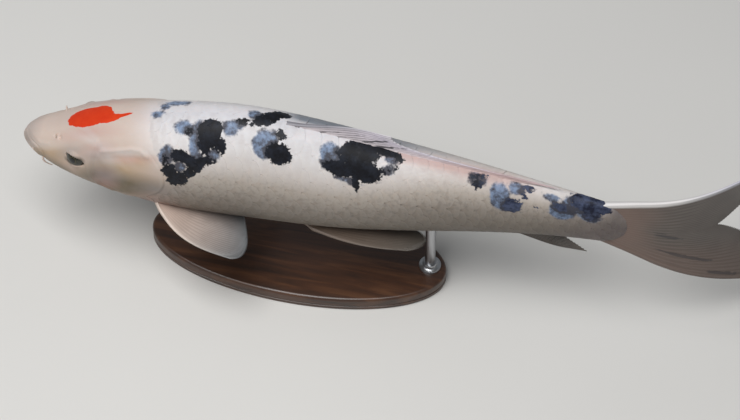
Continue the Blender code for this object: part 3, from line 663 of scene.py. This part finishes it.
for side, turn in SIDES.items():
    plates = []
    for row in range(-6, 8):
        plate_x = all_x[(half_steps + row) % 2 == 0]
        to_back = row_place(plate_x, row)
        to_belly = half_girth(plate_x) - to_back
        wide = row_width(plate_x, row)
        length = np.interp(plate_x, SPACING_AT, SPACING)
        level = flank_level(plate_x, girth_angle(plate_x, to_back))[1]
        nearer = np.minimum(to_back, to_belly)
        middle_row = np.abs(nearer) < 0.02 * wide
        kept = (nearer > 0.12 * wide) | (middle_row & (side == "left"))
        kept &= (start_gap(plate_x, row) > 0.30 * length) & (plate_x < LAST_PLATE)
        kept &= np.hypot(plate_x - PECTORAL_X, level - PECTORAL_LEVEL) > PECTORAL_CLEAR
        reaches = (np.where(middle_row, wide, np.minimum(wide, room - 0.1 * MM))
                   for room in (to_back, to_belly))
        plates.append(np.stack([plate_x, row + 0 * plate_x, *reaches, length], 1)[kept])
    plate_x, row, reach_back, reach_belly, length = np.concatenate(plates).T[..., None, None]

    # Each plate's grid: turn goes round its rear edge, a half ellipse, and back from its root to that edge.
    round_edge, back = GRID_TURN[None, None, :], GRID_BACK[None, :, None]
    up_down = np.where(round_edge < 0, reach_back, reach_belly) * np.sin(round_edge)
    root, rear = -0.62 * length, 0.5 * length * np.cos(round_edge) ** 0.9
    along = root + (rear - root) * back
    ragged = rng.normal(0, 0.012, along.shape) * length * (back == 1)
    x = np.minimum(plate_x + along + ragged, STALK_TIP_X - 0.4 * MM)
    place = row_place(x, row) + up_down
    sunk = 0.22 * MM * (1 - smooth(start_gap(plate_x, row), 0, 24 * MM)) \
        + 0.45 * MM * smooth(plate_x, 428 * MM, 452 * MM)
    tilt = TILT * (0.35 + 0.65 * smooth(row_place(plate_x, row), 3 * MM, 15 * MM))
    height = REAR_STANDS - sunk - tilt * (0.5 - along / length) - ROOT_DROP * (back == 0)
    height += rng.normal(0, 0.015 * MM, plate_x.shape)
    angle = turn * girth_angle(x, place)
    surface, normal = body_point(x, angle), body_normal(x, angle)
    top = surface + height[..., None] * normal
    below = surface + (height - PLATE_WALL)[..., None] * normal

    # A plate is its top grid, walls round its border, and one flat face under it.
    count, rows, columns = x.shape
    border = border_of(rows, columns)
    vertices = np.concatenate([top.reshape(count, -1, 3), below.reshape(count, -1, 3)[:, border]], 1)
    per_plate = vertices.shape[1]
    under = np.arange(rows * columns, per_plate)
    walls = np.stack([border, under, np.roll(under, -1), np.roll(border, -1)], 1)
    quads = np.concatenate([grid_quads(rows, columns), walls])[:, ::-1]
    shift = per_plate * np.arange(count)[:, None]
    faces = (quads + shift[..., None]).reshape(-1, 4).tolist() + (under + shift).tolist()

    point = np.append(np.arange(rows * columns), border)
    fields = skin_fields(x, turn * place, flank_level(x, angle)[1])
    fields["tone"] = np.broadcast_to(rng.random(plate_x.shape), x.shape)
    fields["exposed"] = np.broadcast_to(back, x.shape)
    fields = {field: values.reshape(count, -1)[:, point] for field, values in fields.items()}
    scales = new_piece(f"scales_{side}", vertices.reshape(-1, 3), faces,
                       painted_skin(f"scaled_fish_skin_{side}", fields), fields, sharp=50)

    # Two maps: the plate's own, in metres, and OFBake, where each plate is a small patch at its root's place
    # on the skin laid flat.
    corner = np.empty(len(scales.data.loops), int)
    scales.data.loops.foreach_get("vertex_index", corner)
    flat = np.stack(np.broadcast_arrays(along, up_down), -1).reshape(count, -1, 2)[:, point]
    home = np.stack([plate_x + root, row_place(plate_x, row)], -1).reshape(count, 1, 2)
    for name, laid in (("plate", flat), ("OFBake", 0.02 + home / BAKE_SPAN + BAKE_PATCH * flat / (20 * MM))):
        laid = laid.reshape(-1, 2)[corner].astype(np.float32)
        scales.data.uv_layers.new(name=name).uv.foreach_set("vector", laid.ravel())
    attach(scales, "root")


# --- eyes -------------------------------------------------
# A carp's eye is a clear-fronted ball held in its socket, with no lids. A round black pupil sits in a dark
# olive iris that has a thin gold ring at its inner edge. The model's eyes are cast in clear resin.

PUPIL = 0.30                    # the angle from the gaze that each ring reaches, in radians
GOLD_RING = 0.37
IRIS = 0.78

# Cast clear resin over a painted iris: a hard gloss over depth, as a wet cornea has.
resin, tree, shader, place = new_material("clear_cast_resin")
off_gaze = node(tree, "Attribute", {}, attribute_name="off_gaze")["Fac"]
fleck = node(tree, "TexNoise", {"Vector": place, "Scale": 1 / (1.4 * MM), "Detail": 4.0})["Fac"]
wander = node(tree, "Math", {0: fleck, 1: 0.05, 2: off_gaze}, operation="MULTIPLY_ADD")[0]
rings = layered(tree, "050506", run_of(wander, [
    (0, "050506"), (PUPIL, "060607"), (PUPIL + 0.03, "3F3926"), (GOLD_RING, "36331F"),
    (GOLD_RING + 0.08, "26261E"), (IRIS, "323229"), (1, "1C1B18")]))
flecks = layered(tree, "3A3930", [(1, "C9BFA0", (fleck, 0, 1))])
colour = node(tree, "Mix", {0: 0.2, 6: rings, 7: flecks}, data_type="RGBA", blend_type="OVERLAY")[2]
fill(shader, {"Base Color": colour, "Roughness": 0.25, "IOR": 1.4, "Coat Weight": 0.5,
              "Coat Roughness": 0.12})

# The ball's rings go round the gaze: each is radius sin(t) round it and radius cos(t) along it.
t = np.linspace(0, np.pi, 50)[1:-1, None, None]
turn = np.linspace(0, 2 * np.pi, 72, endpoint=False)[None, :, None]
for side, (centre, gaze, radius) in eyes.items():
    across = unit(np.cross(gaze, (0, 0, 1)))
    up = np.cross(across, gaze)
    rings = centre + radius * (np.cos(t) * gaze + np.sin(t) * (np.cos(turn) * across + np.sin(turn) * up))
    eye_points, faces = closed_rings(rings, centre + radius * gaze, centre - radius * gaze)
    off_gaze = np.append(np.repeat(t, rings.shape[1]), (0, np.pi))
    eye = new_piece(f"eyeball_{side}", eye_points, faces, resin, {"off_gaze": off_gaze})
    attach(eye, "root")
    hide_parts(f"eye_{side}")


# --- barbels and nostril flaps ----------------------------
# Two pairs of soft feelers hang from the upper lip, the rear pair at the mouth's corners and longer. A thin
# flap of skin stands between the two openings of each nostril. All are soft skin cast with the head.

BARBELS = {                     # distance behind the snout, level, length, root radius, direction
    "long": (18.5 * MM, -12.5 * MM, 16 * MM, 1.1 * MM, (0.5, 0.3, -0.8)),
    "short": (10 * MM, -7.5 * MM, 8 * MM, 0.8 * MM, (0.4, 0.2, -0.9)),
}
BARBEL_TIP = 0.35 * MM
FLAP_X, FLAP_LEVEL = 31.3 * MM, 13.3 * MM
FLAP_HEIGHT = 3.4 * MM
FLAP_WIDTH = 3.2 * MM


def on_side(side, points):
    """These points of the left side as they are, or for the right side reflected in the spine."""
    x, y, z = np.moveaxis(np.asarray(points, float), -1, 0)
    return points if side == "left" else np.stack([x, 2 * spine_y(x - SNOUT) - y, z], -1)


def two_toned(name, size, detail, first, second, stretch=(1, 1, 1)):
    """A material whose two tones mingle by a noise of this size in mm, with each axis scaled by its stretch.

    Returns the material, its tree, its shader and the noise.
    """
    material, tree, shader, place = new_material(name)
    place = node(tree, "Mapping", {"Vector": place, "Scale": stretch})[0]
    noise = node(tree, "TexNoise", {"Vector": place, "Scale": 1 / (size * MM), "Detail": detail})["Fac"]
    fill(shader, {"Base Color": layered(tree, first, [(1, second, (noise, 0, 1))])})
    return material, tree, shader, noise


# Soft wet skin: pinkish white with a faint mottle and a satin gloss.
soft_skin, tree, shader, mottle = two_toned("soft_wet_skin", 1.5, 3, "C9B3A2", "DDCFC8")
fill(shader, {"Roughness": 0.38, "IOR": 1.4, "Subsurface Weight": 0.2, "Subsurface Radius": (1.0, 0.6, 0.45),
              "Subsurface Scale": 0.002,
              "Normal": node(tree, "Bump", {"Height": mottle, "Strength": 0.3, "Distance": 0.1 * MM})[0]})

t = np.linspace(0, 1, 25)[:, None]
turn = np.linspace(0, 2 * np.pi, 20, endpoint=False)[None, :, None]
for name, (root_x, root_level, length, radius, direction) in BARBELS.items():
    angle = angle_of(root_x, root_level)
    outward = body_normal(root_x, angle)
    root = body_point(root_x, angle) - 0.8 * MM * outward
    way = 0.30 * length * outward
    # A parabola that leaves the lip outward and bends to its direction, with rings square on it.
    path = (1 - t) ** 2 * root + 2 * t * (1 - t) * (root + way) \
        + t ** 2 * (root + 0.6 * way + 0.8 * length * unit(direction))
    thick = (radius + (BARBEL_TIP - radius) * t ** 0.8) * (1 + 0.05 * np.sin(40 * t))
    thick = thick * np.sqrt(1 - (t * 0.985) ** 24)
    for side in SIDES:
        line = on_side(side, path)
        ahead = unit(np.gradient(line, axis=0))
        sideways = unit(np.cross(ahead, (0.3, 0.2, 1.0)))
        up = np.cross(sideways, ahead)
        round_line = np.cos(turn) * sideways[:, None] + np.sin(turn) * up[:, None]
        rings = line[:, None] + thick[..., None] * round_line
        barbel_points, faces = closed_rings(rings, line[0], line[-1])
        barbel = new_piece(f"feeler_{name}_{side}", barbel_points, faces, soft_skin)
        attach(barbel, "root")
        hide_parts(f"barbel_{name}_{side}")

# A flap is a leaf: its rim is a half ellipse, it leans back as the square of its height, and cups forward.
angle = angle_of(FLAP_X, FLAP_LEVEL)
outward = body_normal(FLAP_X, angle)
along = unit(body_point(33 * MM, angle) - body_point(30 * MM, angle))
t = np.linspace(0, 1, 13)[:, None, None]
across = np.linspace(-1, 1, 17)[None, :, None]
middle = body_point(FLAP_X, angle) + (t * FLAP_HEIGHT - 0.6 * MM) * outward \
    + 0.5 * FLAP_WIDTH * across * np.sqrt(1 - 0.9 * t ** 2) * np.cross(outward, along) \
    + (0.9 * MM * t ** 2 - 0.5 * MM * across ** 2) * along
thin = 0.28 * MM * (1 - 0.6 * t) * along
leaf = np.concatenate([middle - thin, (middle + thin)[:, ::-1]], 1)
for side in SIDES:
    placed = on_side(side, leaf)
    flap_points, faces = closed_rings(placed, placed[0].mean(0), placed[-1].mean(0))
    flap = new_piece(f"nostril_flap_{side}", flap_points, faces, soft_skin)
    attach(flap, "root")


# --- paired fins ------------------------------------------
# Each is a fan of bony rays joined by thin clear skin. A ray splits in two, and in two again, towards the
# margin, where it stands a little past the skin. The root is thick and fleshy and is bedded in the flank.

# Front and rear root, leading ray, inner side, spread, ray lengths, tip round, bow, rays.
PAIRED = {
    "pectoral_fin": ((107, -31, -27), (116, -24, -33), (68, -33, -9.5), (0, 1, -0.15), 44, (88, 67.5, 56),
                     0.17, 0.155, 16),
    "pelvic_fin": ((218, -16.5, -43.5), (229, -11, -45.5), (82, -8, 3), (0, 1, 0.1), 15, (84, 86, 62),
                   0.05, 0.06, 9),
}
# The rays, the web and the edge, each at the root and the tip, and the flush.
COLOURS = {
    "pectoral_fin": ("E9D8CC", "888B8D", "DFC9BB", "707579", "E6D5C8", "9A9A9A", "EACFBF"),
    # The pelvic fin's dull browns are painted shade under the belly.
    "pelvic_fin": ("8A7B70", "5E5850", "776A60", "504C46", "82746A", "6A625A", "86705F"),
    "dorsal_fin": ("EEE3E2", "F0E8F4", "E8DDDE", "E6DEEC", "77777F", "DAD5D9", "BF9A90"),
    # The anal fin's dull browns are painted shade under the belly.
    "anal_fin": ("776B61", "5F5851", "655B53", "4E4842", "776C62", "665E56", "7C6A5E"),
    "tail_fin": ("776C64", "726963", "645A53", "5C5550", "DEDAD8", "8084A0", "7F665B"),
}


def ray_pattern(ray, out, count, first_split=0.35, second_split=0.68):
    """How much of a ray lies here, 1 on its crest and 0 between rays, for count rays that split twice.

    The distance from a crest is |||f - 1/2| - b| - c|, where f is the place between two rays, and b and c
    grow from 0 to 1/4 and 1/8 past the first and second split. The crest is a bell that narrows outwards.
    """
    place = np.abs((ray * count) % 1 - 0.5)
    place = np.abs(place - 0.25 * smooth(out, first_split, first_split + 0.3))
    place = np.abs(place - 0.125 * smooth(out, second_split, second_split + 0.3))
    return bump(place, 0.19 - 0.12 * out)


def fin_piece(name, middle, thickness, fields, replaced, material):
    """A closed fin: the grid of points moved half its thickness to each side, joined round its border."""
    normal = unit(np.cross(np.gradient(middle, axis=0), np.gradient(middle, axis=1)) + 1e-12)
    half = thickness[..., None] / 2 * normal
    shape = middle.shape[:2]
    border, quads, other = border_of(*shape), grid_quads(*shape), shape[0] * shape[1]
    rim = np.stack([border, border + other, np.roll(border, -1) + other, np.roll(border, -1)], 1)
    faces = np.concatenate([quads[:, ::-1], quads + other, rim[:, ::-1]]).tolist()
    fin_points = np.vstack([(middle + half).reshape(-1, 3), (middle - half).reshape(-1, 3)])
    fields = {field: np.tile(np.broadcast_to(values, shape).ravel(), 2) for field, values in fields.items()}
    piece = new_piece(name, fin_points, faces, material, fields)
    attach(piece, "root")
    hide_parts(*replaced)


def fin_skin(fin, web_cover, ray_cover=0.5, dark_cover=0.85):
    """Fin membrane: thin clear skin stretched between opaque bony rays. It gives a satin sheen, lets light
    through between the rays, and shows the rays paler than the web."""
    ray_root, ray_tip, web_root, web_tip, edge_root, edge_tip, flush = COLOURS[fin]
    material, tree, shader, place = new_material(f"{fin}_membrane")
    ray, out, leading, dark, joint, flushed = (
        node(tree, "Attribute", {}, attribute_name=field)["Fac"]
        for field in ("ray", "out", "leading", "dark", "joint", "flush"))
    cloud, broad = (
        node(tree, "TexNoise", {"Vector": place, "Scale": 1 / (size * MM), "Detail": detail})["Fac"]
        for size, detail in ((5, 3), (16, 2)))
    dark = node(tree, "Math", {0: cloud, 1: 1.2, 2: dark}, operation="MULTIPLY_ADD")[0]
    dark = node(tree, "MapRange", {"Value": dark, "From Min": 1.0, "From Max": 1.35},
                interpolation_type="SMOOTHSTEP")[0]
    shown = node(tree, "MapRange", {"Value": broad, "From Min": 0.38, "From Max": 0.68, "To Min": ray_cover,
                                    "To Max": 0.7 * ray_cover})[0]
    rays = layered(tree, ray_root, [(1, ray_tip, (out, 0, 1))])
    edge = layered(tree, edge_root, [(1, edge_tip, (out, 0.4, 0.95))])
    colour = layered(tree, web_root, [
        (1, web_tip, (out, 0, 1)), (0.25, "5F544C", (cloud, 0, 1)), (shown, rays, (ray, 0, 1)),
        (0.2, "4C4541", (broad, 0.38, 0.68)), (0.6, flush, (flushed, 0, 1)), (1, edge, (leading, 0, 1)),
        (dark_cover, "25262E", (dark, 0, 1))])
    # The root, the rays, the leading edge and the dark streaks are solid. The web lets light through.
    solid = node(tree, "MapRange", {"Value": out, "From Min": 0.3, "From Max": 0.05})[0]
    for part in (ray, leading, dark):
        solid = node(tree, "Math", {0: solid, 1: part}, operation="MAXIMUM")[0]
    # The rays stand up, less at their joints, and the web is faintly uneven.
    crest = node(tree, "MapRange", {"Value": joint, "To Min": 1.0, "To Max": 0.4})[0]
    height = node(tree, "Math", {0: cloud, 1: 0.4}, operation="MULTIPLY")[0]
    height = node(tree, "Math", {0: ray, 1: crest, 2: height}, operation="MULTIPLY_ADD")[0]
    fill(shader, {
        "Base Color": colour, "Alpha": node(tree, "MapRange", {"Value": solid, "To Min": web_cover,
                                                               "To Max": 0.97})[0],
        "Normal": node(tree, "Bump", {"Height": height, "Strength": 0.2, "Distance": 0.1 * MM})[0],
        "Roughness": 0.42, "IOR": 1.4, "Coat Weight": 0.15, "Coat Roughness": 0.3})
    return material


def fan_fin(front_root, rear_root, leading_ray, inner_side, spread, lengths, tip_round, bow, count):
    """A fan: rays leave the root line and turn from the leading ray towards the inner side. Sizes in mm.

    A ray's length runs through the leading, middle and trailing lengths as a parabola, less tip_round of it
    for the leading rays and a little between rays. The leading rays bow forward by bow times their length.
    """
    front_root, rear_root = np.array(front_root) * MM, np.array(rear_root) * MM
    along = unit(leading_ray)
    inner = unit(inner_side - along * (inner_side @ along))
    ray = np.linspace(0, 1, 16 * count + 1)[None, :]
    out = np.linspace(0, 1, 80)[:, None] ** 0.9
    pattern = ray_pattern(ray, out, count)
    leading, middle, trailing = np.array(lengths) * MM
    control = 2 * middle - (leading + trailing) / 2
    length = leading * (1 - ray) ** 2 + 2 * control * ray * (1 - ray) + trailing * ray ** 2
    length = length * (1 - tip_round * (1 - ray) ** 8) * (1 - 0.028 * (1 - pattern[-1:]) * out ** 8)
    turn = np.radians(spread) * ray[..., None]
    points = front_root + (rear_root - front_root) * ray[..., None] \
        + (out * length)[..., None] * (np.cos(turn) * along + np.sin(turn) * inner) \
        - (bow * (1 - ray) * length * np.sin(np.pi * out))[..., None] * inner
    bedded = (1 - smooth(out, 0, 0.07))[..., None]
    points = points + bedded * (3 * MM * unit((0, -front_root[1], -front_root[2])) - 2 * MM * along)
    ripple = 0.5 * MM * np.sin(9 * ray + 5 * out) * out ** 1.5
    return points + ripple[..., None] * unit(np.cross(along, inner)) + (SNOUT, 0, AXIS), ray, out, pattern


for name, (*fan, count) in PAIRED.items():
    middle, ray, out, pattern = fan_fin(*fan, count)
    edge = bump(ray, 1.1 / count)
    thickness = (2.6 * (1 - out) ** 2.2 + 0.34 + pattern * (0.08 - 0.03 * out)
                 + edge * (0.9 - 0.6 * out)) * MM
    fields = {"ray": pattern, "out": out, "leading": edge * 0.9, "dark": 0, "flush": (1 - out) ** 1.5,
              "joint": smooth(np.sin(2 * np.pi * out * 34), 0.5, 0.95)}
    material = fin_skin(name, web_cover=0.85, ray_cover=0.4)
    for side in SIDES:
        placed = on_side(side, middle)
        fin_piece(f"{name}_rayed_{side}", placed, thickness, fields, [f"{name}_{side}"], material)


# --- dorsal and anal fin ----------------------------------
# The long dorsal fin is folded down: its rays lie back along the ridge of the back, one over the next, so
# that it shows as a low streaked band. The first rays are stout spines. The anal fin is folded like it.

DORSAL_STREAKS = [(265, 3.6, 12, 1, 22), (277, 1.8, 13, 1, 14), (245, 1.2, 10, 0.35, 14),
                  (234, 2.6, 9, 0.5, 20), (254, 6.5, 10, 0.3, 24)]
RISEN_BY = 0.8                  # the share of a ray's length over which it rises
FOLDED = {                      # start, base length, ray lengths, heights, fall, lean, rays, web cover
    "dorsal_fin": (200, 172, (80, 34), (15, 2.5), 4, -0.08, 20, 0.9),
    "anal_fin": (348, 36, (80, 26), (16, 4), 1, -0.12, 8, 0.75),
}

for name, (start, base, lengths, heights, fall, lean, count, web_cover) in FOLDED.items():
    # Ray lengths and heights fall from the first ray's to the last ray's as (1 - ray)^fall, and a ray rises
    # as 3t^2 - 2t^3. The web between two rays buckles sideways as a sine, and the root lies under the skin.
    on_back = name == "dorsal_fin"
    ray = np.linspace(0, 1, 12 * count + 1)[None, :]
    out = np.linspace(0, 1, 60)[:, None]
    length, height = (last + (first - last) * (1 - ray) ** fall for first, last in (lengths, heights))
    x = (start + base * ray + length * out) * MM
    rise = height * smooth(out, 0, RISEN_BY) * MM
    buckle = 0.25 * MM * np.sin(2 * np.pi * ray * count) * smooth(out, 0.1, 0.6)
    stands = rise - (1 - smooth(out, 0, 0.04)) * 2 * MM
    body_edge = section(x)[0] + stands if on_back else section(x)[1] - stands
    middle = np.stack([x + SNOUT, spine_y(x) + lean * rise + buckle, body_edge + AXIS], -1)
    pattern = ray_pattern(ray, out, count, 0.5, 2)
    spine_edge = bump(ray, 0.022)
    thickness = (2.4 * (1 - out) ** 2 + 0.34 + pattern * 0.3 + spine_edge * 0.7 * (1 - 0.6 * out)) * MM
    fields = {"ray": pattern * 0.8, "out": out,
              "leading": 0.85 * np.maximum(spine_edge, smooth(out, 0.86, 1)),
              "dark": on_back * marking(DORSAL_STREAKS, x, rise), "joint": 0,
              "flush": on_back * smooth(ray, 0.45, 0.8)}
    fin_piece(f"{name}_rayed", middle, thickness, fields, [name], fin_skin(name, web_cover))


# --- tail fin ---------------------------------------------
# A forked fan of rays on the stalk's round end, cupped by the stroke. Its outermost rays are stout, packed
# close together and white, and the web between the fine inner rays is a dusky clear skin.

TAIL_TIP_X = 573 * MM
TAIL_TIP_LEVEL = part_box("tail_fin_upper")[1].z - AXIS
FORK_X = 518.8 * MM
ROOT_HALF_HEIGHT = 20.5 * MM
CUP_START = 458 * MM
CUP_RATE = 2.45
TAIL_RAYS = 20
# Dusky streaks between rays, as ovals over 100 mm times out and 50 mm times side.
TAIL_STREAKS = [(42.5, -7.5, 13, 2.6, -14), (47, -33, 19, 2.1, -12), (68, -46.5, 10, 1.2, -4),
                (36, -1, 8, 1, -8)]

ray = np.linspace(0, 1, 18 * TAIL_RAYS + 1)[None, :]
out = np.linspace(0, 1, 100)[:, None]
side = 2 * ray - 1
away = np.abs(side)
pattern = ray_pattern(ray, out, TAIL_RAYS, 0.3, 0.6)
reach = out * (1 - 0.02 * (1 - pattern[-1:]) * out ** 8)


def from_root(root, margin, bend):
    """A ray's parabola from root to margin, by way of a control point at this share of the way."""
    control = root + bend * (margin - root)
    return (1 - reach) ** 2 * root + 2 * reach * (1 - reach) * control + reach ** 2 * margin


# Rays run from the stalk's half-elliptic end to the margin, x as away and z as away^1.3.
x = from_root(STALK_END_X + (STALK_TIP_X - STALK_END_X) * np.sqrt(1 - away ** 2) - 4 * MM,
              FORK_X + (TAIL_TIP_X - FORK_X) * away, 0.5)
z = np.sign(side) * from_root(ROOT_HALF_HEIGHT * away ** 0.9, TAIL_TIP_LEVEL * away ** 1.3, 0.4)
opened = np.clip(np.abs(z) / (20 * MM + 0.5 * (x - STATION[-1])), 0, 1)
y = spine_y(x) + CUP_RATE * np.clip(x - CUP_START, 0, None) ** 2 * (1 - opened ** 2)
y = y + 0.5 * MM * np.sin(14 * ray + 6 * out) * out
middle = np.stack([x + SNOUT, y, z + AXIS], -1)
edge = smooth(away, 0.885, 0.975)
upper = side > 0
thickness = (2.2 * (1 - out) ** 2.5 + 0.34 + pattern * (0.1 - 0.05 * out)
             + edge * np.where(upper, 1.6, 0.9) * (1 - 0.6 * out)) * MM
fields = {"ray": pattern, "out": out, "leading": edge * upper,
          "dark": marking(TAIL_STREAKS, 100 * MM * out + 0 * ray, 50 * MM * side + 0 * out),
          "joint": smooth(np.sin(2 * np.pi * out * 44), 0.5, 0.95),
          "flush": np.maximum(1 - smooth(out, 0.05, 0.4), smooth(-side, 0.2, 0.8) * (1 - 0.7 * out))}
fin_piece("tail_fin_rayed", middle, thickness, fields, ["tail_fin_upper", "tail_fin_lower"],
          fin_skin("tail_fin", web_cover=0.85, ray_cover=0.55, dark_cover=0.6))


# --- stand ------------------------------------------------
# A flat oval base of dark stained walnut with a rounded edge and a fine groove near its foot, and two
# brushed steel rods screwed into it. A turned collar covers each hole, and the rods end under the belly.

EDGE_ROUND = 2.5 * MM
# Turned profiles, as inset and height in mm.
BASE_FOOT = [(6, 0), (0.6, 0), (0, 0.6), (0, 3.2), (0.7, 3.5), (0.7, 4.1), (0, 4.4)]
COLLAR = [(-4.5, 0), (-4.5, 1.4), (-4.2, 1.9), (-2.6, 2.2), (-1.7, 3), (-1.5, 5.2), (-1.2, 5.6), (0.05, 5.7)]

# Walnut, sawn flat, stained dark and lacquered: long brown grain under an even satin gloss.
walnut, tree, shader, place = new_material("stained_walnut")
stretched = node(tree, "Mapping", {"Vector": place, "Scale": (0.09, 1.0, 1.0)})[0]
grain, pores = (
    node(tree, "TexNoise", {"Vector": stretched, "Scale": 1 / (size * MM), "Detail": detail,
                            "Distortion": distortion})["Fac"]
    for size, detail, distortion in ((5, 6, 0.6), (0.9, 2, 0)))
brown = layered(tree, "2A1B13", run_of(grain, [(0.25, "2A1B13"), (0.5, "43291A"), (0.75, "5D3D27")]))
fill(shader, {"Base Color": brown, "Roughness": 0.38, "Coat Weight": 0.3, "Coat Roughness": 0.2,
              "Normal": node(tree, "Bump", {"Height": pores, "Strength": 0.25, "Distance": 0.1 * MM})[0]})

# Stainless steel drawn to a rod and brushed along it: cool grey with fine bright lines.
steel, tree, shader, lines = two_toned("brushed_stainless_steel", 0.35, 2, "A3A5A8", "CDCED0", (1, 1, 0.02))
fill(shader, {"Metallic": 1.0,
              "Roughness": node(tree, "MapRange", {"Value": lines, "To Min": 0.22, "To Max": 0.4})[0]})


def turned(name, profile, half_length, half_width, columns, centre, material):
    """A profile of (inset, height) carried round an oval: each ring is that oval less the inset."""
    inset, height = np.array(profile, float).T[..., None]
    turn = np.linspace(0, 2 * np.pi, columns, endpoint=False)
    x, y = (half_length - inset) * np.cos(turn), (half_width - inset) * np.sin(turn)
    rings = np.stack([x, y, height + 0 * x], -1) + centre
    ends = np.array(centre) + [(0, 0, height[0, 0]), (0, 0, height[-1, 0])]
    return new_piece(name, *closed_rings(rings, *ends), material, sharp=35)


low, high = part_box("stand_base")
quarter = np.radians(np.linspace(0, 90, 9))[:, None]
top_edge = np.hstack([EDGE_ROUND * (1 - np.cos(quarter)), high.z - EDGE_ROUND * (1 - np.sin(quarter))])
foot = np.array(BASE_FOOT) * MM + (0, low.z)
plinth = turned("plinth", [*foot, *top_edge, (8 * MM, high.z), (24 * MM, high.z)],
                (high.x - low.x) / 2, (high.y - low.y) / 2, 192, (0, 0, 0), walnut)
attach(plinth, "root")
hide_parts("stand_base")

for place in ("front", "rear"):
    rod_low, rod_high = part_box(f"stand_rod_{place}")
    centre = ((rod_low.x + rod_high.x) / 2, (rod_low.y + rod_high.y) / 2, 0)
    radius = (rod_high.y - rod_low.y) / 2
    rod = turned(f"rod_{place}", [(0, rod_low.z), (0, rod_high.z - 0.3 * MM), (0.3 * MM, rod_high.z)],
                 radius, radius, 48, centre, steel)
    collar = turned(f"collar_{place}", np.array(COLLAR) * MM + (0, high.z), radius, radius, 48, centre, steel)
    for piece in (rod, collar):
        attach(piece, "root")
    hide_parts(f"stand_rod_{place}")


# --- floor, lights and camera -----------------------------
# A plain pale painted floor, one large soft light overhead, a weak one from the front, and an even pale
# surround. The camera looks down on the fish's left side from in front of its shoulder.

FLOOR_LEVEL = -0.0002
FLOOR = 4                       # half its side
TARGET = np.array([56, 0, 73.4]) * MM
CAMERA_AWAY = 2.068
CAMERA_TURN, CAMERA_HEIGHT = np.radians((12.5, 53))
LIGHTS = {                      # place, side of the square, power in watts
    "overhead": ((-0.25, -0.5, 1.65), 1.1, 27),
    "front": ((-0.9, -1.4, 0.9), 1.0, 1.5),
}

# Matt floor paint: an even pale grey that is very faintly clouded.
floor_paint, tree, shader, _ = two_toned("matt_floor_paint", 300, 3, "D3D1CD", "D9D7D3")
fill(shader, {"Roughness": 0.85})
floor_mesh = bpy.data.meshes.new("floor")
corners = [(-FLOOR, -FLOOR), (FLOOR, -FLOOR), (FLOOR, FLOOR), (-FLOOR, FLOOR)]
floor_mesh.from_pydata([(*corner, FLOOR_LEVEL) for corner in corners], [], [(0, 1, 2, 3)])
floor_mesh.materials.append(floor_paint)
floor = bpy.data.objects.new("floor", floor_mesh)
bpy.context.scene.collection.objects.link(floor)
floor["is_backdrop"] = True

world = bpy.data.worlds.new("surround")
bpy.context.scene.world = world
world.use_nodes = True
fill(world.node_tree.nodes["Background"], {"Color": "DDE2E8", "Strength": 0.28})

for name, (place, size, power) in LIGHTS.items():
    light = bpy.data.lights.new(name, "AREA")
    light.size = size
    light.energy = power
    lamp = bpy.data.objects.new(name, light)
    bpy.context.scene.collection.objects.link(lamp)
    lamp.location = place
    lamp.rotation_euler = (Vector(place) - Vector(TARGET)).to_track_quat("Z", "Y").to_euler()

camera = bpy.data.objects.new("camera", bpy.data.cameras.new("camera"))
camera.data.lens = 135
camera.data.sensor_width = 36
back = (np.sin(CAMERA_TURN) * np.cos(CAMERA_HEIGHT), -np.cos(CAMERA_TURN) * np.cos(CAMERA_HEIGHT),
        np.sin(CAMERA_HEIGHT))
camera.location = TARGET + CAMERA_AWAY * np.array(back)
camera.rotation_euler = (np.pi / 2 - CAMERA_HEIGHT, 0, CAMERA_TURN)
bpy.context.scene.collection.objects.link(camera)
bpy.context.scene.camera = camera
bpy.context.scene.view_settings.view_transform = "Standard"


bpy.context.view_layer.update()
low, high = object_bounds()
